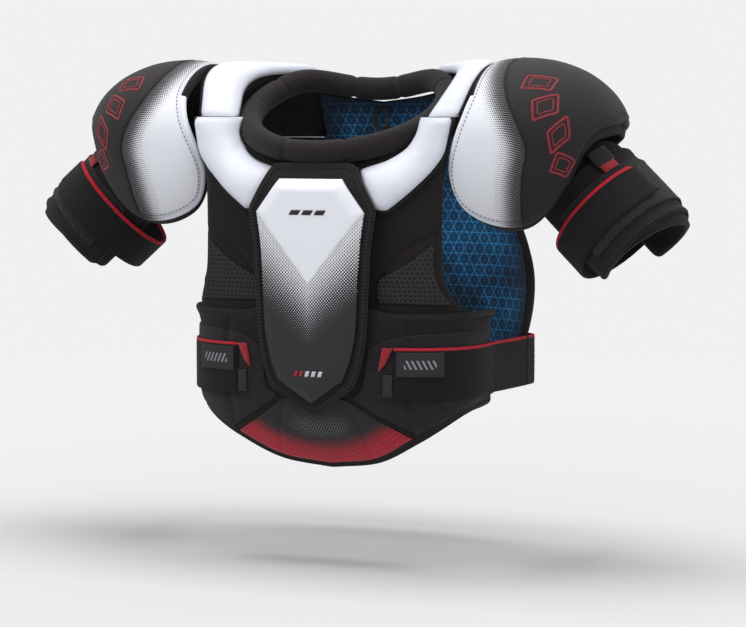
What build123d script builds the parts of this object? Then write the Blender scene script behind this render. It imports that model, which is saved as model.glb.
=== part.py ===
"""Ice hockey shoulder pads for a senior player, built as the real pads come apart on a bench.

Millimetres, +Z up. The wearer faces -Y and the wearer's left is +X. The origin lies on the mid plane, at
the height of the shoulder arches' undersides, in the plane of the wearer's ears.

The torso is two curved forms, a front one and a back one. Each is a stack of horizontal superellipse
sections, and every torso piece is a layer between two depths above a form, trimmed by an outline.
"""

import os
from math import atan2, cos, degrees, hypot, radians, sin

from build123d import *

# --- driving dimensions
MID_Y = 5.0  # depth of the coronal plane
FRONT_HALF_WIDTH, FRONT_REACH, FRONT_POWER = 160.0, 77.0, 3.5
BACK_HALF_WIDTH, BACK_REACH, BACK_POWER = 174.0, 120.0, 3.2
BACK_EDGE_TURN = 62  # where the back form's sides stop, in degrees from the spine

SEAM_Z = -40.0  # sewn fold between the chest side and the shoulder arch
BACK_SEAM_Z = -62.0
LEAN_START_Z, LEAN_TOP = -110.0, 42.0  # the upper chest leans back towards the neck
CURL_START_Z, CURL_END_Z, CURL = -300.0, -380.0, 42.0  # the belly's hem curls in
WAIST_START_Z, WAIST_END_Z, WAIST = -200.0, -240.0, 0.17  # the front narrows by this share at the belly
BACK_LEAN_START_Z, BACK_LEAN_Z, BACK_LEAN = -140.0, -28.0, 28.0
HEM_Z = -383.0
BACK_HEM_Z = -342.0

GAP = 0.3  # between layers that lie on each other
LINER = (0.0, 1.5)
FOAM = (LINER[1] + GAP, 11.0)
OUTER_PAD = (FOAM[1] + GAP, 24.0)
BELLY = (FOAM[1] + GAP, 19.0)
BELLY_SKIN = (BELLY[1] + GAP, 20.8)
VENT = (FOAM[1] + GAP, 13.5)
STERNUM_BASE = (OUTER_PAD[1] + GAP, 27.3)
STERNUM_PLATE = (STERNUM_BASE[1] + GAP, 36.0)
BACK_PAD = (FOAM[1] + GAP, 17.0)

COLLAR_HALF_WIDTH, COLLAR_HALF_DEPTH, COLLAR_RADIUS = 100.0, 84.0, 12.0
COLLAR_MID_Z, COLLAR_RISE = -32.0, 0.5  # height at the sides, and rise per millimetre towards the back
COLLAR_DIP_START_Y, COLLAR_DIP = 50.0, 22.0  # the nape dips

ARCH_INNER_X, ARCH_OUTER_X = 70.0, 150.0
ARCH_DEPTH = OUTER_PAD[1]

CAP_CENTRE = (182.0, 15.0, -60.0)
CAP_RADIUS, CAP_RISE, CAP_DROP = 90.0, 66.0, 110.0  # inner surface: plan radius, height above, depth below
CAP_PAD = (0.0, 5.5)
CAP_INSERT = (5.8, 8.0)
CAP_COVER = (8.3, 11.5)
CAP_FLANGE = 8.0  # the pad shows this far below the cover

ARM_START = Vector(255.0, 20.0, -124.0)  # on the upper arm's axis, at the strap's upper edge
ARM_AXIS = Vector(0.72, -0.15, -0.68).normalized()
ARM_OUT = Vector(0.68, 0.0, 0.72).normalized()
ARM_FOAM = (45.0, 52.0)
ARM_SHELL = (52.3, 56.8)
ARM_LOOP = (57.1, 58.6)
ARM_STRAP = (59.0, 61.0)
ARM_STRAP_SPAN = (4.0, 42.0)  # 38 mm elastic, along the arm
ARM_STRAP_HINGE = 204.0  # degrees round the arm from its outer line, by way of the front
ARM_STRAP_END = 26.0

BELLY_STRAP = (21.5, 23.5)
BELLY_STRAP_Z = (-310.0, -260.0)  # 50 mm elastic
BELLY_STRAP_HINGE = (163.0, 75.0)

COLLAR_STEPS = 8  # spline spans in each half of the collar
FAR = 400.0  # past every part


def ramp(value, start, end):
    """0 before start, 1 after end, straight between them."""
    return min(1.0, max(0.0, (value - start) / (end - start)))


def smooth(share):
    return share * share * (3 - 2 * share)


# --- the torso's two forms
def form_point(turn, depth, half_width, reach, power):
    """A superellipse point at a turn from the middle, moved out along its normal: (x, off MID_Y)."""
    s, c = sin(radians(turn)), cos(radians(turn))
    r = (abs(s) ** power + abs(c) ** power) ** (-1 / power)
    x, y = half_width * r * s, reach * r * c
    nx = (1 if s > 0 else -1) * abs(r * s) ** (power - 1) / half_width
    ny = abs(r * c) ** (power - 1) / reach
    return x + depth * nx / hypot(nx, ny), y + depth * ny / hypot(nx, ny)


def front_lean(x, z):
    top = LEAN_TOP * ramp(z, LEAN_START_Z, SEAM_Z) ** 1.5 * (1 - smooth(ramp(abs(x), 80, 130)))
    return top + CURL * ramp(z, CURL_START_Z, CURL_END_Z) ** 1.5


def back_lean(z):
    return -BACK_LEAN * max(0.0, (z - BACK_LEAN_START_Z) / (BACK_LEAN_Z - BACK_LEAN_START_Z)) ** 2


def front_point(turn, z, depth):
    x, y = form_point(turn, depth, FRONT_HALF_WIDTH, FRONT_REACH, FRONT_POWER)
    waist = 1 - WAIST * ramp(z, WAIST_START_Z, WAIST_END_Z)
    return x * waist, MID_Y - y + front_lean(x, z)


def back_point(turn, z, depth):
    x, y = form_point(turn, depth, BACK_HALF_WIDTH, BACK_REACH, BACK_POWER)
    return x, MID_Y + y + back_lean(z)


def shell(point, turns, levels, depths):
    """Inside a BuildPart: a form's layer between two depths, ruled from level to level."""
    sections = []
    for z in levels:
        with BuildSketch(Plane.XY.offset(z)) as section:
            with BuildLine():
                inner = Spline(*[point(t, z, depths[0]) for t in turns])
                outer = Spline(*[point(t, z, depths[1]) for t in turns])
                Line(inner @ 0, outer @ 0)
                Line(inner @ 1, outer @ 1)
            make_face()
        sections.append(section.sketch)
    loft(sections, ruled=True)


FRONT_TURNS = range(-90, 91, 10)
FRONT_LEVELS = (SEAM_Z - GAP, -60, -85, -110, WAIST_START_Z, WAIST_END_Z, -300, -325, -350, HEM_Z)
BACK_TURNS = [BACK_EDGE_TURN * i / 7 for i in range(-7, 8)]
BACK_LEVELS = (-12, -35, -62, -95, BACK_LEAN_START_Z, -240, BACK_HEM_Z)


def front_shell(depths, top=FRONT_LEVELS[0], bottom=HEM_Z):
    between = [z for z in FRONT_LEVELS if bottom < z < top]
    shell(front_point, FRONT_TURNS, [top, *between, bottom], depths)


def back_shell(depths):
    shell(back_point, BACK_TURNS, BACK_LEVELS, depths)


def trim(*outline, mirrored=False, curved=()):
    """Inside a BuildPart: keeps what lies behind a closed outline seen from the front, in (x, z).
    A mirrored outline starts and ends on the mid plane. Each pair in curved marks a run of points that
    a spline joins."""
    with BuildSketch(Plane.XZ) as area:
        with BuildLine():
            last = 0
            for first, end in curved:
                if first > last:
                    Polyline(*outline[last : first + 1])
                Spline(*outline[first : end + 1])
                last = end
            if last < len(outline) - 1:
                Polyline(*outline[last:])
            if mirrored:
                mirror(about=Plane.YZ)
            else:
                Line(outline[-1], outline[0])
        make_face()
    extrude(area.sketch, amount=FAR, both=True, mode=Mode.INTERSECT)


# --- the shoulder arches
# Fore-and-aft curves of the arch, front seam to back seam, in (y, z): at the neck and at the shoulder's end.
NECK_X, END_X = 88.0, 148.0
NECK_UNDER = ((-27, -40), (5, -26), (45, -10), (68, -8), (90, -22), (102, -42), (107, -62))
NECK_OVER = ((-51, -40), (-2, -12), (42, 10), (70, 15), (100, 2), (121, -28), (131, -62))
END_UNDER = ((-46, -40), (-24, -14), (0, -3), (35, -2), (62, -14), (77, -38), (82, -62))
END_OVER = ((-68, -40), (-40, -2), (0, 15), (38, 14), (76, -6), (100, -38), (106, -62))


def arch_point(index, x, depth):
    """One point of the arch's fore-and-aft curve at x, at a depth above its underside."""
    along, up = (x - NECK_X) / (END_X - NECK_X), depth / ARCH_DEPTH
    under = [a + (b - a) * along for a, b in zip(NECK_UNDER[index], END_UNDER[index])]
    over = [a + (b - a) * along for a, b in zip(NECK_OVER[index], END_OVER[index])]
    return tuple(a + (b - a) * up for a, b in zip(under, over))


def arch_layer(depths, neck_cut):
    """Inside a BuildPart: a layer of the left arch, cut round the neck by an ellipse of these half axes."""
    count = len(NECK_UNDER)
    sections = []
    for x in (ARCH_INNER_X, ARCH_OUTER_X):
        with BuildSketch(Plane.YZ.offset(x)) as section:
            with BuildLine():
                under = Spline(*[arch_point(i, x, depths[0]) for i in range(count)])
                over = Spline(*[arch_point(i, x, depths[1]) for i in range(count)])
                Line(under @ 0, over @ 0)
                Line(under @ 1, over @ 1)
            make_face()
        sections.append(section.sketch)
    loft(sections, ruled=True)
    with BuildSketch(Plane.XY) as plan:
        with BuildLine():
            edge = Spline((134, -80), (145, -25), (148, 20), (146, 70), (138, 140))
            Polyline(edge @ 1, (ARCH_INNER_X, 140), (ARCH_INNER_X, -80), edge @ 0)
        make_face()
        Ellipse(*neck_cut, mode=Mode.SUBTRACT)
    extrude(plan.sketch, amount=FAR, both=True, mode=Mode.INTERSECT)


# --- saving
os.makedirs("parts", exist_ok=True)


def save(shape, name):
    shape.label = name
    export_step(shape, f"parts/{name}.step")


def save_pair(left, name):
    """Writes the left piece and its mirror image for the right side."""
    save(left, f"left_{name}")
    save(mirror(left, about=Plane.YZ), f"right_{name}")


# --- chest
NECKLINE = ((0, -88), (52, -82), (76, -74.5), (96, -63), (108, -51), (112, SEAM_Z - GAP))
CHEST_SIDE = ((132, SEAM_Z - GAP), (128, -75), (123, -110), (123, -185), (132, -212), (157, -228))
CHEST_END_Z = -262.0


def trim_chest():
    trim(*NECKLINE, *CHEST_SIDE, (190, -240), (190, CHEST_END_Z), (0, CHEST_END_Z), mirrored=True,
         curved=((0, 5), (6, 11)))


with BuildPart() as chest_liner:
    front_shell(LINER, bottom=CHEST_END_Z - GAP)
    trim_chest()
save(chest_liner.part, "chest_liner")

with BuildPart() as chest_foam:
    front_shell(FOAM, bottom=CHEST_END_Z - GAP)
    trim_chest()
save(chest_foam.part, "chest_foam")

with BuildPart() as vent_panel:
    front_shell(VENT, top=-150, bottom=-236)
    trim((62, -196), (118, -160), (120, -188), (131, -214), (150, -226), (62, -218), curved=((2, 4),))
save_pair(vent_panel.part, "vent_panel")

# The white clavicle pads reach under the sternum plate's edge, and the sternum foam fills between them.
with BuildPart() as clavicle_pad:
    front_shell(OUTER_PAD, bottom=-135)
    trim((94, SEAM_Z - GAP), (134, SEAM_Z - GAP), (130, -60), (126, -76), (115, -92), (74, -129), (58, -126),
         (44, -91), (50, -88), (70, -81), (85, -70), (93, -56), curved=((1, 4), (7, 11)))
save_pair(clavicle_pad.part, "clavicle_pad")

with BuildPart() as sternum_foam:
    front_shell(OUTER_PAD, top=-80, bottom=-222)
    trim((0, -88.5), (42, -88), (56, -128), (52, -215), (0, -221), mirrored=True)
save(sternum_foam.part, "sternum_foam")

# --- belly
BELLY_TOP_Z = -236.0
BELLY_SIDE = ((190, -312), (148, -316), (118, -338), (93, -354), (50, -376), (0, HEM_Z))


def trim_belly(top_z):
    trim((0, top_z), (55, top_z), (75, top_z - 6), (190, top_z - 8), *BELLY_SIDE, mirrored=True,
         curved=((4, 9),))


with BuildPart() as belly_pad:
    front_shell(BELLY, top=-215)
    trim_belly(-226.0)
save(belly_pad.part, "belly_pad")

with BuildPart() as belly_loop:
    front_shell(BELLY_SKIN, top=-230)
    trim((56, -262), (100, -248), (190, -246), (190, -309), (148, -313), (118, -335), (95, -349), (38, -310),
         (50, -300))
save_pair(belly_loop.part, "belly_loop")

with BuildPart() as belly_print:
    front_shell(BELLY_SKIN, top=-290)
    trim((0, -305), (34, -314), (90, -352), (50, -374), (0, HEM_Z), mirrored=True, curved=((2, 4),))
save(belly_print.part, "belly_print")

# --- sternum plate
STERNUM_TOP_Z = -88.0
with BuildPart() as sternum_base:
    front_shell(STERNUM_BASE, top=-80, bottom=-330)
    trim((0, STERNUM_TOP_Z), (40, STERNUM_TOP_Z), (62, -129), (55, -190), (52, -246), (47, -278), (40, -298),
         (0, -325), mirrored=True, curved=((2, 6),))
save(sternum_base.part, "sternum_base")

with BuildPart() as sternum_plate:
    front_shell(STERNUM_PLATE, top=-95, bottom=-330)
    trim((0, -99), (32, -99), (55, -131), (49, -190), (46, -246), (40, -276), (33, -293), (0, -316),
         mirrored=True, curved=((2, 6),))
save(sternum_plate.part, "sternum_plate")

# --- shoulder arches
with BuildPart() as arch_foam:
    arch_layer((LINER[0], FOAM[1]), (113.0, 97.0))
save_pair(arch_foam.part, "arch_foam")

with BuildPart() as clavicle_top:
    arch_layer(OUTER_PAD, (109.5, 95.5))
save_pair(clavicle_top.part, "clavicle_top")


# --- collar
def collar_point(turn):
    """The roll's centreline, by degrees from the throat."""
    y = -COLLAR_HALF_DEPTH * cos(radians(turn))
    dip = COLLAR_DIP * ramp(y, COLLAR_DIP_START_Y, COLLAR_HALF_DEPTH) ** 2
    return COLLAR_HALF_WIDTH * sin(radians(turn)), y, COLLAR_MID_Z + COLLAR_RISE * y - dip


def collar_half(first, last):
    """Inside a BuildPart: a round roll along part of the centreline."""
    with BuildLine() as route:
        Spline(*[collar_point(first + (last - first) * i / COLLAR_STEPS) for i in range(COLLAR_STEPS + 1)])
    with BuildSketch(Plane(origin=route.line @ 0, z_dir=route.line % 0)) as roll:
        Circle(COLLAR_RADIUS)
    sweep(roll.sketch, path=route.line)


COLLAR_JOIN = 0.4  # degrees short of each join
with BuildPart() as collar_front:
    collar_half(-90 + COLLAR_JOIN, 90 - COLLAR_JOIN)
save(collar_front.part, "collar_front")

with BuildPart() as collar_back:
    collar_half(90 + COLLAR_JOIN, 270 - COLLAR_JOIN)
save(collar_back.part, "collar_back")

# --- back
BACK_TOP = ((0, -25), (40, -20), (ARCH_INNER_X - GAP, -14), (ARCH_INNER_X - GAP, BACK_SEAM_Z - GAP))
BACK_SIDE = ((116, BACK_SEAM_Z - GAP), (119, -100), (127, -128), (152, -155), (171, -200), (165, -248),
             (138, -298), (112, -324), (70, -338), (0, BACK_HEM_Z))


def trim_back():
    trim(*BACK_TOP, *BACK_SIDE, mirrored=True, curved=((0, 2), (4, 13)))


with BuildPart() as back_liner:
    back_shell(LINER)
    trim_back()
save(back_liner.part, "back_liner")

with BuildPart() as back_foam:
    back_shell(FOAM)
    trim_back()
save(back_foam.part, "back_foam")

with BuildPart() as spine_plate:
    back_shell(BACK_PAD)
    trim((0, -45), (30, -52), (34, -120), (28, -200), (22, -232), (0, -240), mirrored=True, curved=((1, 4),))
save(spine_plate.part, "spine_plate")

with BuildPart() as scapula_pad:
    back_shell(BACK_PAD)
    trim((38, -66), (106, -68), (110, -105), (112, -135), (98, -172), (58, -192), (36, -180), (39, -120),
         curved=((1, 6),))
save_pair(scapula_pad.part, "scapula_pad")

with BuildPart() as lower_back_pad:
    back_shell(BACK_PAD)
    trim((0, -246), (26, -240), (60, -206), (100, -196), (112, -240), (98, -296), (60, -322), (0, -328),
         mirrored=True, curved=((1, 7),))
save(lower_back_pad.part, "lower_back_pad")

# --- hanging loop: a flat ring of webbing under the nape
LOOP_TOP_Z, LOOP_HEIGHT, LOOP_WIDTH, LOOP_WEB, LOOP_THICK = -28.0, 27.0, 20.0, 5.0, 1.6
LOOP_BACK_Y = 94.5
with BuildPart() as hang_loop:
    with BuildSketch(Plane.XZ.offset(-LOOP_BACK_Y)):
        with Locations((0, LOOP_TOP_Z - LOOP_HEIGHT / 2)):
            RectangleRounded(LOOP_WIDTH, LOOP_HEIGHT, LOOP_WEB)
            RectangleRounded(LOOP_WIDTH - 2 * LOOP_WEB, LOOP_HEIGHT - 2 * LOOP_WEB, 2, mode=Mode.SUBTRACT)
    extrude(amount=LOOP_THICK)
save(hang_loop.part, "hang_loop")


# --- belly straps
def band(inner, outer, bottom, top):
    """Inside a BuildPart: an upright band between two plan curves given as points."""
    with BuildSketch(Plane.XY.offset(bottom)) as plan:
        with BuildLine():
            near, far = Spline(*inner), Spline(*outer)
            Line(near @ 0, far @ 0)
            Line(near @ 1, far @ 1)
        make_face()
    extrude(plan.sketch, amount=top - bottom)


BELLY_MID_Z = (BELLY_STRAP_Z[0] + BELLY_STRAP_Z[1]) / 2
STRAP_END_TURN, LABEL_END_TURN, PULL_END_TURN, HOOK_END_TURN = 32, 49, 26.5, 28
JOINED = 0.2  # turn left between the strap's end and what is sewn to it


def strap_route(depth):
    """Plan points from the strap's hook end, round the side, to its hinge on the back panel's edge."""
    across_front = [front_point(t, BELLY_MID_Z, depth) for t in (*range(STRAP_END_TURN, 81, 8), 90)]
    lift = depth - BELLY_STRAP[0]
    return [*across_front, (BELLY_STRAP_HINGE[0] - 6 + lift, 40), (BELLY_STRAP_HINGE[0] + lift, 74)]


with BuildPart() as belly_strap:
    band(strap_route(BELLY_STRAP[0]), strap_route(BELLY_STRAP[1]), *BELLY_STRAP_Z)
save_pair(belly_strap.part, "belly_strap")

LABEL = (BELLY_STRAP[1] + GAP, 25.0)
LABEL_Z = (-288.0, -264.0)
with BuildPart() as belly_strap_label:
    turns = range(STRAP_END_TURN + 1, LABEL_END_TURN + 1, 4)
    band([front_point(t, BELLY_MID_Z, LABEL[0]) for t in turns],
         [front_point(t, BELLY_MID_Z, LABEL[1]) for t in turns], *LABEL_Z)
save_pair(belly_strap_label.part, "belly_strap_label")

with BuildPart() as belly_strap_pull:
    turns = (PULL_END_TURN, (PULL_END_TURN + STRAP_END_TURN) / 2, STRAP_END_TURN - JOINED)
    band([front_point(t, BELLY_MID_Z, BELLY_STRAP[0]) for t in turns],
         [front_point(t, BELLY_MID_Z, BELLY_STRAP[1]) for t in turns], -284.0, BELLY_STRAP_Z[1])
save_pair(belly_strap_pull.part, "belly_strap_pull")

with BuildPart() as belly_strap_hook:
    turns = (HOOK_END_TURN, (HOOK_END_TURN + STRAP_END_TURN) / 2, STRAP_END_TURN - JOINED)
    band([front_point(t, BELLY_MID_Z, BELLY_STRAP[0]) for t in turns],
         [front_point(t, BELLY_MID_Z, BELLY_STRAP[1]) for t in turns], BELLY_STRAP_Z[0] + 2, -286.0)
save_pair(belly_strap_hook.part, "belly_strap_hook")


def anchor_route(depth):
    """Plan points of the sewn end of the strap, round the back panel's outer face."""
    start = (BELLY_STRAP_HINGE[0] + depth - 11.5, 76)
    return [start, *[back_point(t, BELLY_MID_Z, depth) for t in (52, 48, 44, 40, 36)]]


with BuildPart() as strap_anchor:
    band(anchor_route(11.5), anchor_route(13.5), *BELLY_STRAP_Z)
save_pair(strap_anchor.part, "strap_anchor")

# --- shoulder caps
# The cap's lower edge seen from the front, from the hinge edge round the front or back lobe to the tip.
FRONT_LOBE = ((152, -20), (146, -42), (134, -75), (131, -98), (140, -124), (165, -139), (195, -142),
              (218, -130), (241, -98), (257, -62), (270, -46), (290, -38))
BACK_LOBE = ((152, -20), (151, -50), (154, -78), (168, -98), (193, -105), (222, -92), (248, -62), (290, -38))
CAP_TOP_Z, CAP_EDGE_X = 40.0, 152.0


def grown(points, distance):
    """The points moved out to the left of their run by a distance, except the first few, beside the neck."""
    moved = []
    for i, (x, z) in enumerate(points):
        (x0, z0), (x1, z1) = points[max(i - 1, 0)], points[min(i + 1, len(points) - 1)]
        share = distance * ramp(i, 2, 3) / hypot(x1 - x0, z1 - z0)
        moved.append((x + share * (z1 - z0), z - share * (x1 - x0)))
    return moved


def cap_waste(grow):
    """What the lobes' outlines, moved out by grow, cut away: all under them and past the hinge edge."""
    with BuildPart() as waste:
        for lobe, reach in ((FRONT_LOBE, FAR), (BACK_LOBE, -FAR)):
            edge = grown(lobe, grow)
            edge[0] = (CAP_EDGE_X, lobe[0][1])
            with BuildSketch(Plane.XZ.offset(-CAP_CENTRE[1])):
                with BuildLine():
                    Spline(*edge)
                    Polyline(edge[-1], (FAR, edge[-1][1]), (FAR, -FAR), (-FAR, -FAR), (-FAR, FAR),
                             (CAP_EDGE_X, FAR), edge[0])
                make_face()
            extrude(amount=reach)
    return waste.part


# The seam between the white and black halves of the cover, seen from the front, with its mirror behind.
CAP_SEAM = ((176, 40), (177, 10), (188, -20), (204, -50), (211, -72), (206, -100), (200, -150))


def seam_waste(side):
    """What the seam cuts away from the cover's inner (white) half or its outer (black) half."""
    away, clear = (FAR, 0) if side == "white" else (-FAR, GAP)
    with BuildPart() as waste:
        with BuildSketch(Plane.XZ):
            with BuildLine():
                seam = Spline(*[(x + clear, z) for x, z in CAP_SEAM])
                Polyline(seam @ 1, (away, -150), (away, 40), seam @ 0)
            make_face()
        extrude(amount=FAR, both=True)
    return waste.part


def dome_point(turn, depth):
    """A point of the dome's profile at a turn above (or below) its widest level, from its centre."""
    height = (CAP_RISE if turn > 0 else CAP_DROP) + depth
    return (CAP_RADIUS + depth) * cos(radians(turn)), height * sin(radians(turn))


def cap_layer(depths, waste):
    """Inside a BuildPart: a layer of the dome between two depths above its inner surface, less the waste."""
    x, y, z = CAP_CENTRE
    with BuildSketch(Plane(origin=(x, y, z), x_dir=(1, 0, 0), z_dir=(0, -1, 0))) as profile:
        for depth, mode in ((depths[1], Mode.ADD), (depths[0], Mode.SUBTRACT)):
            with BuildLine():
                side = Spline(*[dome_point(turn, depth) for turn in range(-65, 89, 17)])
                Polyline(side @ 0, (0, (side @ 0).Y), (0, (side @ 1).Y), side @ 1)
            make_face(mode=mode)
    revolve(profile.sketch, axis=Axis((x, y, 0), (0, 0, 1)))
    for tool in waste:
        add(tool, mode=Mode.SUBTRACT)


edge_waste, flange_waste = cap_waste(0), cap_waste(CAP_FLANGE)
white_waste, black_waste = seam_waste("white"), seam_waste("black")

with BuildPart() as cap_pad:
    cap_layer(CAP_PAD, [flange_waste])
save_pair(cap_pad.part, "cap_pad")

with BuildPart() as cap_insert:
    cap_layer(CAP_INSERT, [edge_waste])
save_pair(cap_insert.part, "cap_insert")

with BuildPart() as cap_cover_white:
    cap_layer(CAP_COVER, [edge_waste, white_waste])
save_pair(cap_cover_white.part, "cap_cover_white")

with BuildPart() as cap_cover_black:
    cap_layer(CAP_COVER, [edge_waste, black_waste])
save_pair(cap_cover_black.part, "cap_cover_black")

# --- upper arm guards
ARM = Plane(origin=ARM_START, x_dir=ARM_OUT, z_dir=ARM_AXIS)  # local x outwards, y forwards, z down


def arm_sector(radii, first, last, start, end):
    """Inside a BuildPart: a layer round the arm between two angles and two distances along it."""
    with BuildSketch(ARM.offset(start)) as sector:
        with BuildLine():
            near = CenterArc((0, 0), radii[0], first, last - first)
            far = CenterArc((0, 0), radii[1], first, last - first)
            Line(near @ 0, far @ 0)
            Line(near @ 1, far @ 1)
        make_face()
    extrude(sector.sketch, amount=end - start)


GUARD_BACK, GUARD_FRONT = -95, 150


def trim_guard():
    """Inside a BuildPart: the guard's slanted top, which clears the cap, and its pointed outer end."""
    with BuildSketch(Plane(origin=ARM_START, x_dir=ARM_OUT, z_dir=ARM.y_dir)) as side:
        with BuildLine():
            # Seen along local y, local x runs outwards and the sketch's y runs back up the arm.
            Polyline((-62, 60), (20, 42), (62, 31), (62, -78), (40, -70), (0, -64), (-62, -60), (-62, 60))
        make_face()
    extrude(side.sketch, amount=FAR, both=True, mode=Mode.INTERSECT)


with BuildPart() as arm_foam:
    arm_sector(ARM_FOAM, GUARD_BACK, GUARD_FRONT, -70, 90)
    trim_guard()
save_pair(arm_foam.part, "arm_foam")

with BuildPart() as arm_shell:
    arm_sector(ARM_SHELL, GUARD_BACK + 12, GUARD_FRONT - 12, -22, 66)
save_pair(arm_shell.part, "arm_shell")

with BuildPart() as arm_loop_patch:
    arm_sector(ARM_LOOP, -60, 116, -3, 52)
save_pair(arm_loop_patch.part, "arm_loop_patch")

with BuildPart() as arm_strap_base:
    arm_sector(ARM_STRAP, ARM_STRAP_HINGE + 1.5, 360 + GUARD_BACK + 20, *ARM_STRAP_SPAN)
save_pair(arm_strap_base.part, "arm_strap_base")

with BuildPart() as arm_strap:
    arm_sector(ARM_STRAP, ARM_STRAP_END, ARM_STRAP_HINGE, *ARM_STRAP_SPAN)
save_pair(arm_strap.part, "arm_strap")

with BuildPart() as arm_strap_hook:
    hook_span = (ARM_STRAP_SPAN[0] + 4, ARM_STRAP_SPAN[1] - 4)
    arm_sector(ARM_STRAP, ARM_STRAP_END - 7, ARM_STRAP_END - GAP, *hook_span)
save_pair(arm_strap_hook.part, "arm_strap_hook")

HANGER_MIDDLE, HANGER_HALF, HANGER_SPAN, PULL_SPAN = 46, 10, (-27, -10), (-9.7, -2)
with BuildPart() as arm_hanger:
    arm_sector(ARM_STRAP, HANGER_MIDDLE - HANGER_HALF, HANGER_MIDDLE + HANGER_HALF, *HANGER_SPAN)
save_pair(arm_hanger.part, "arm_hanger")

with BuildPart() as arm_hanger_pull:
    arm_sector(ARM_STRAP, HANGER_MIDDLE - HANGER_HALF + 2, HANGER_MIDDLE + HANGER_HALF - 2, *PULL_SPAN)
save_pair(arm_hanger_pull.part, "arm_hanger_pull")
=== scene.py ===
"""Ice hockey shoulder pads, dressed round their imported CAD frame.

Every padded piece is a panel: a closed outline in the flat coordinates of a curved form (millimetres), filled
with a mesh, raised into a puffed pad above the form and sewn down along its edge and seams.
"""

import math

import bmesh
import bpy
import numpy as np
from mathutils import Matrix, Vector, noise
from mathutils.geometry import delaunay_2d_cdt


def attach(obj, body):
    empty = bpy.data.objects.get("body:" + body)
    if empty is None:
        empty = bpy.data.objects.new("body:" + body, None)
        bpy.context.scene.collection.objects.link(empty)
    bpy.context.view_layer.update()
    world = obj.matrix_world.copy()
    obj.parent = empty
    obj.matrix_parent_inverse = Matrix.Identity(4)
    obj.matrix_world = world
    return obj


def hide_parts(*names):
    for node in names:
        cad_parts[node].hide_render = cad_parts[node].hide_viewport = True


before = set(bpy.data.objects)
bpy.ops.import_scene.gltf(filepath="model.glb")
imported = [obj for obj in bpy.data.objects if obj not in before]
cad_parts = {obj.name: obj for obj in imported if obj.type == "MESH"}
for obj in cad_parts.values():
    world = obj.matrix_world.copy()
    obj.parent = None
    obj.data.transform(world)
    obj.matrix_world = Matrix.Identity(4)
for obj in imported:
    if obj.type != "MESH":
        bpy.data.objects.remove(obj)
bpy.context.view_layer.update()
MM = 0.001
BIG = 1e4


# ---------------------------------------------------------------------------------------------- curved forms
MID_Y = 5.0
FRONT_FORM = (160.0, 77.0, 3.5)  # half width, reach, power of the superellipse
BACK_FORM = (174.0, 120.0, 3.2)
SEAM_Z = -40.0
LEAN_START_Z, LEAN_TOP = -110.0, 42.0
CURL_START_Z, CURL_END_Z, CURL = -300.0, -380.0, 42.0
BACK_LEAN_START_Z, BACK_LEAN_Z, BACK_LEAN = -140.0, -28.0, 28.0
WAIST_START_Z, WAIST_END_Z, WAIST = -200.0, -240.0, 0.17
TABLE_DEPTH = 12.0  # the depth at which distances along a form are measured


def smooth(share):
    share = np.clip(share, 0.0, 1.0)
    return share * share * (3 - 2 * share)


def ramp(value, start, end):
    return np.clip((value - start) / (end - start), 0.0, 1.0)


def form_xy(turn, depth, shape):
    """Points of a superellipse moved out along its normal: (x, distance from the middle plane)."""
    width, reach, power = shape
    s, c = np.sin(np.radians(turn)), np.cos(np.radians(turn))
    r = (np.abs(s) ** power + np.abs(c) ** power) ** (-1 / power)
    nx = np.sign(s) * np.abs(r * s) ** (power - 1) / width
    ny = np.abs(r * c) ** (power - 1) / reach
    size = np.hypot(nx, ny)
    return width * r * s + depth * nx / size, reach * r * c + depth * ny / size


def arc_table(shape):
    turns = np.linspace(0, 90, 361)
    x, y = form_xy(turns, TABLE_DEPTH, shape)
    along = np.concatenate([[0], np.cumsum(np.hypot(np.diff(x), np.diff(y)))])
    return turns, x, along


FRONT_TABLE, BACK_TABLE = arc_table(FRONT_FORM), arc_table(BACK_FORM)


def along_at(x, table):
    """The distance along a form at which it is x from the middle."""
    return np.sign(x) * np.interp(np.abs(x), table[1], table[2])


def bs(x):
    return float(along_at(np.float64(x), BACK_TABLE))


def waist(z):
    """The front form narrows towards the belly."""
    return 1 - WAIST * ramp(z, WAIST_START_Z, WAIST_END_Z)


def front(p, depth):
    """The front form: p holds (distance along the form, height)."""
    turn = np.sign(p[:, 0]) * np.interp(np.abs(p[:, 0]), FRONT_TABLE[2], FRONT_TABLE[0])
    x, y = form_xy(turn, depth, FRONT_FORM)
    z = p[:, 1]
    lean = LEAN_TOP * ramp(z, LEAN_START_Z, SEAM_Z) ** 1.5 * (1 - smooth((np.abs(x) - 80) / 50))
    curl = CURL * ramp(z, CURL_START_Z, CURL_END_Z) ** 1.5
    return np.stack([x * waist(z), MID_Y - y + lean + curl, z], 1)


def back(p, depth):
    turn = np.sign(p[:, 0]) * np.interp(np.abs(p[:, 0]), BACK_TABLE[2], BACK_TABLE[0])
    x, y = form_xy(turn, depth, BACK_FORM)
    z = p[:, 1]
    lean = np.maximum(0, (z - BACK_LEAN_START_Z) / (BACK_LEAN_Z - BACK_LEAN_START_Z)) ** 2
    return np.stack([x, MID_Y + y - BACK_LEAN * lean, z], 1)


# The shoulder arch's fore-and-aft curves, front seam to back seam, in (y, z), at the neck and at its end.
ARCH_X, ARCH_DEPTH = (88.0, 148.0), 24.0
NECK_UNDER = ((-27, -40), (5, -26), (45, -10), (68, -8), (90, -22), (102, -42), (107, -62))
NECK_OVER = ((-51, -40), (-2, -12), (42, 10), (70, 15), (100, 2), (121, -28), (131, -62))
END_UNDER = ((-46, -40), (-24, -14), (0, -3), (35, -2), (62, -14), (77, -38), (82, -62))
END_OVER = ((-68, -40), (-40, -2), (0, 15), (38, 14), (76, -6), (100, -38), (106, -62))


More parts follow.
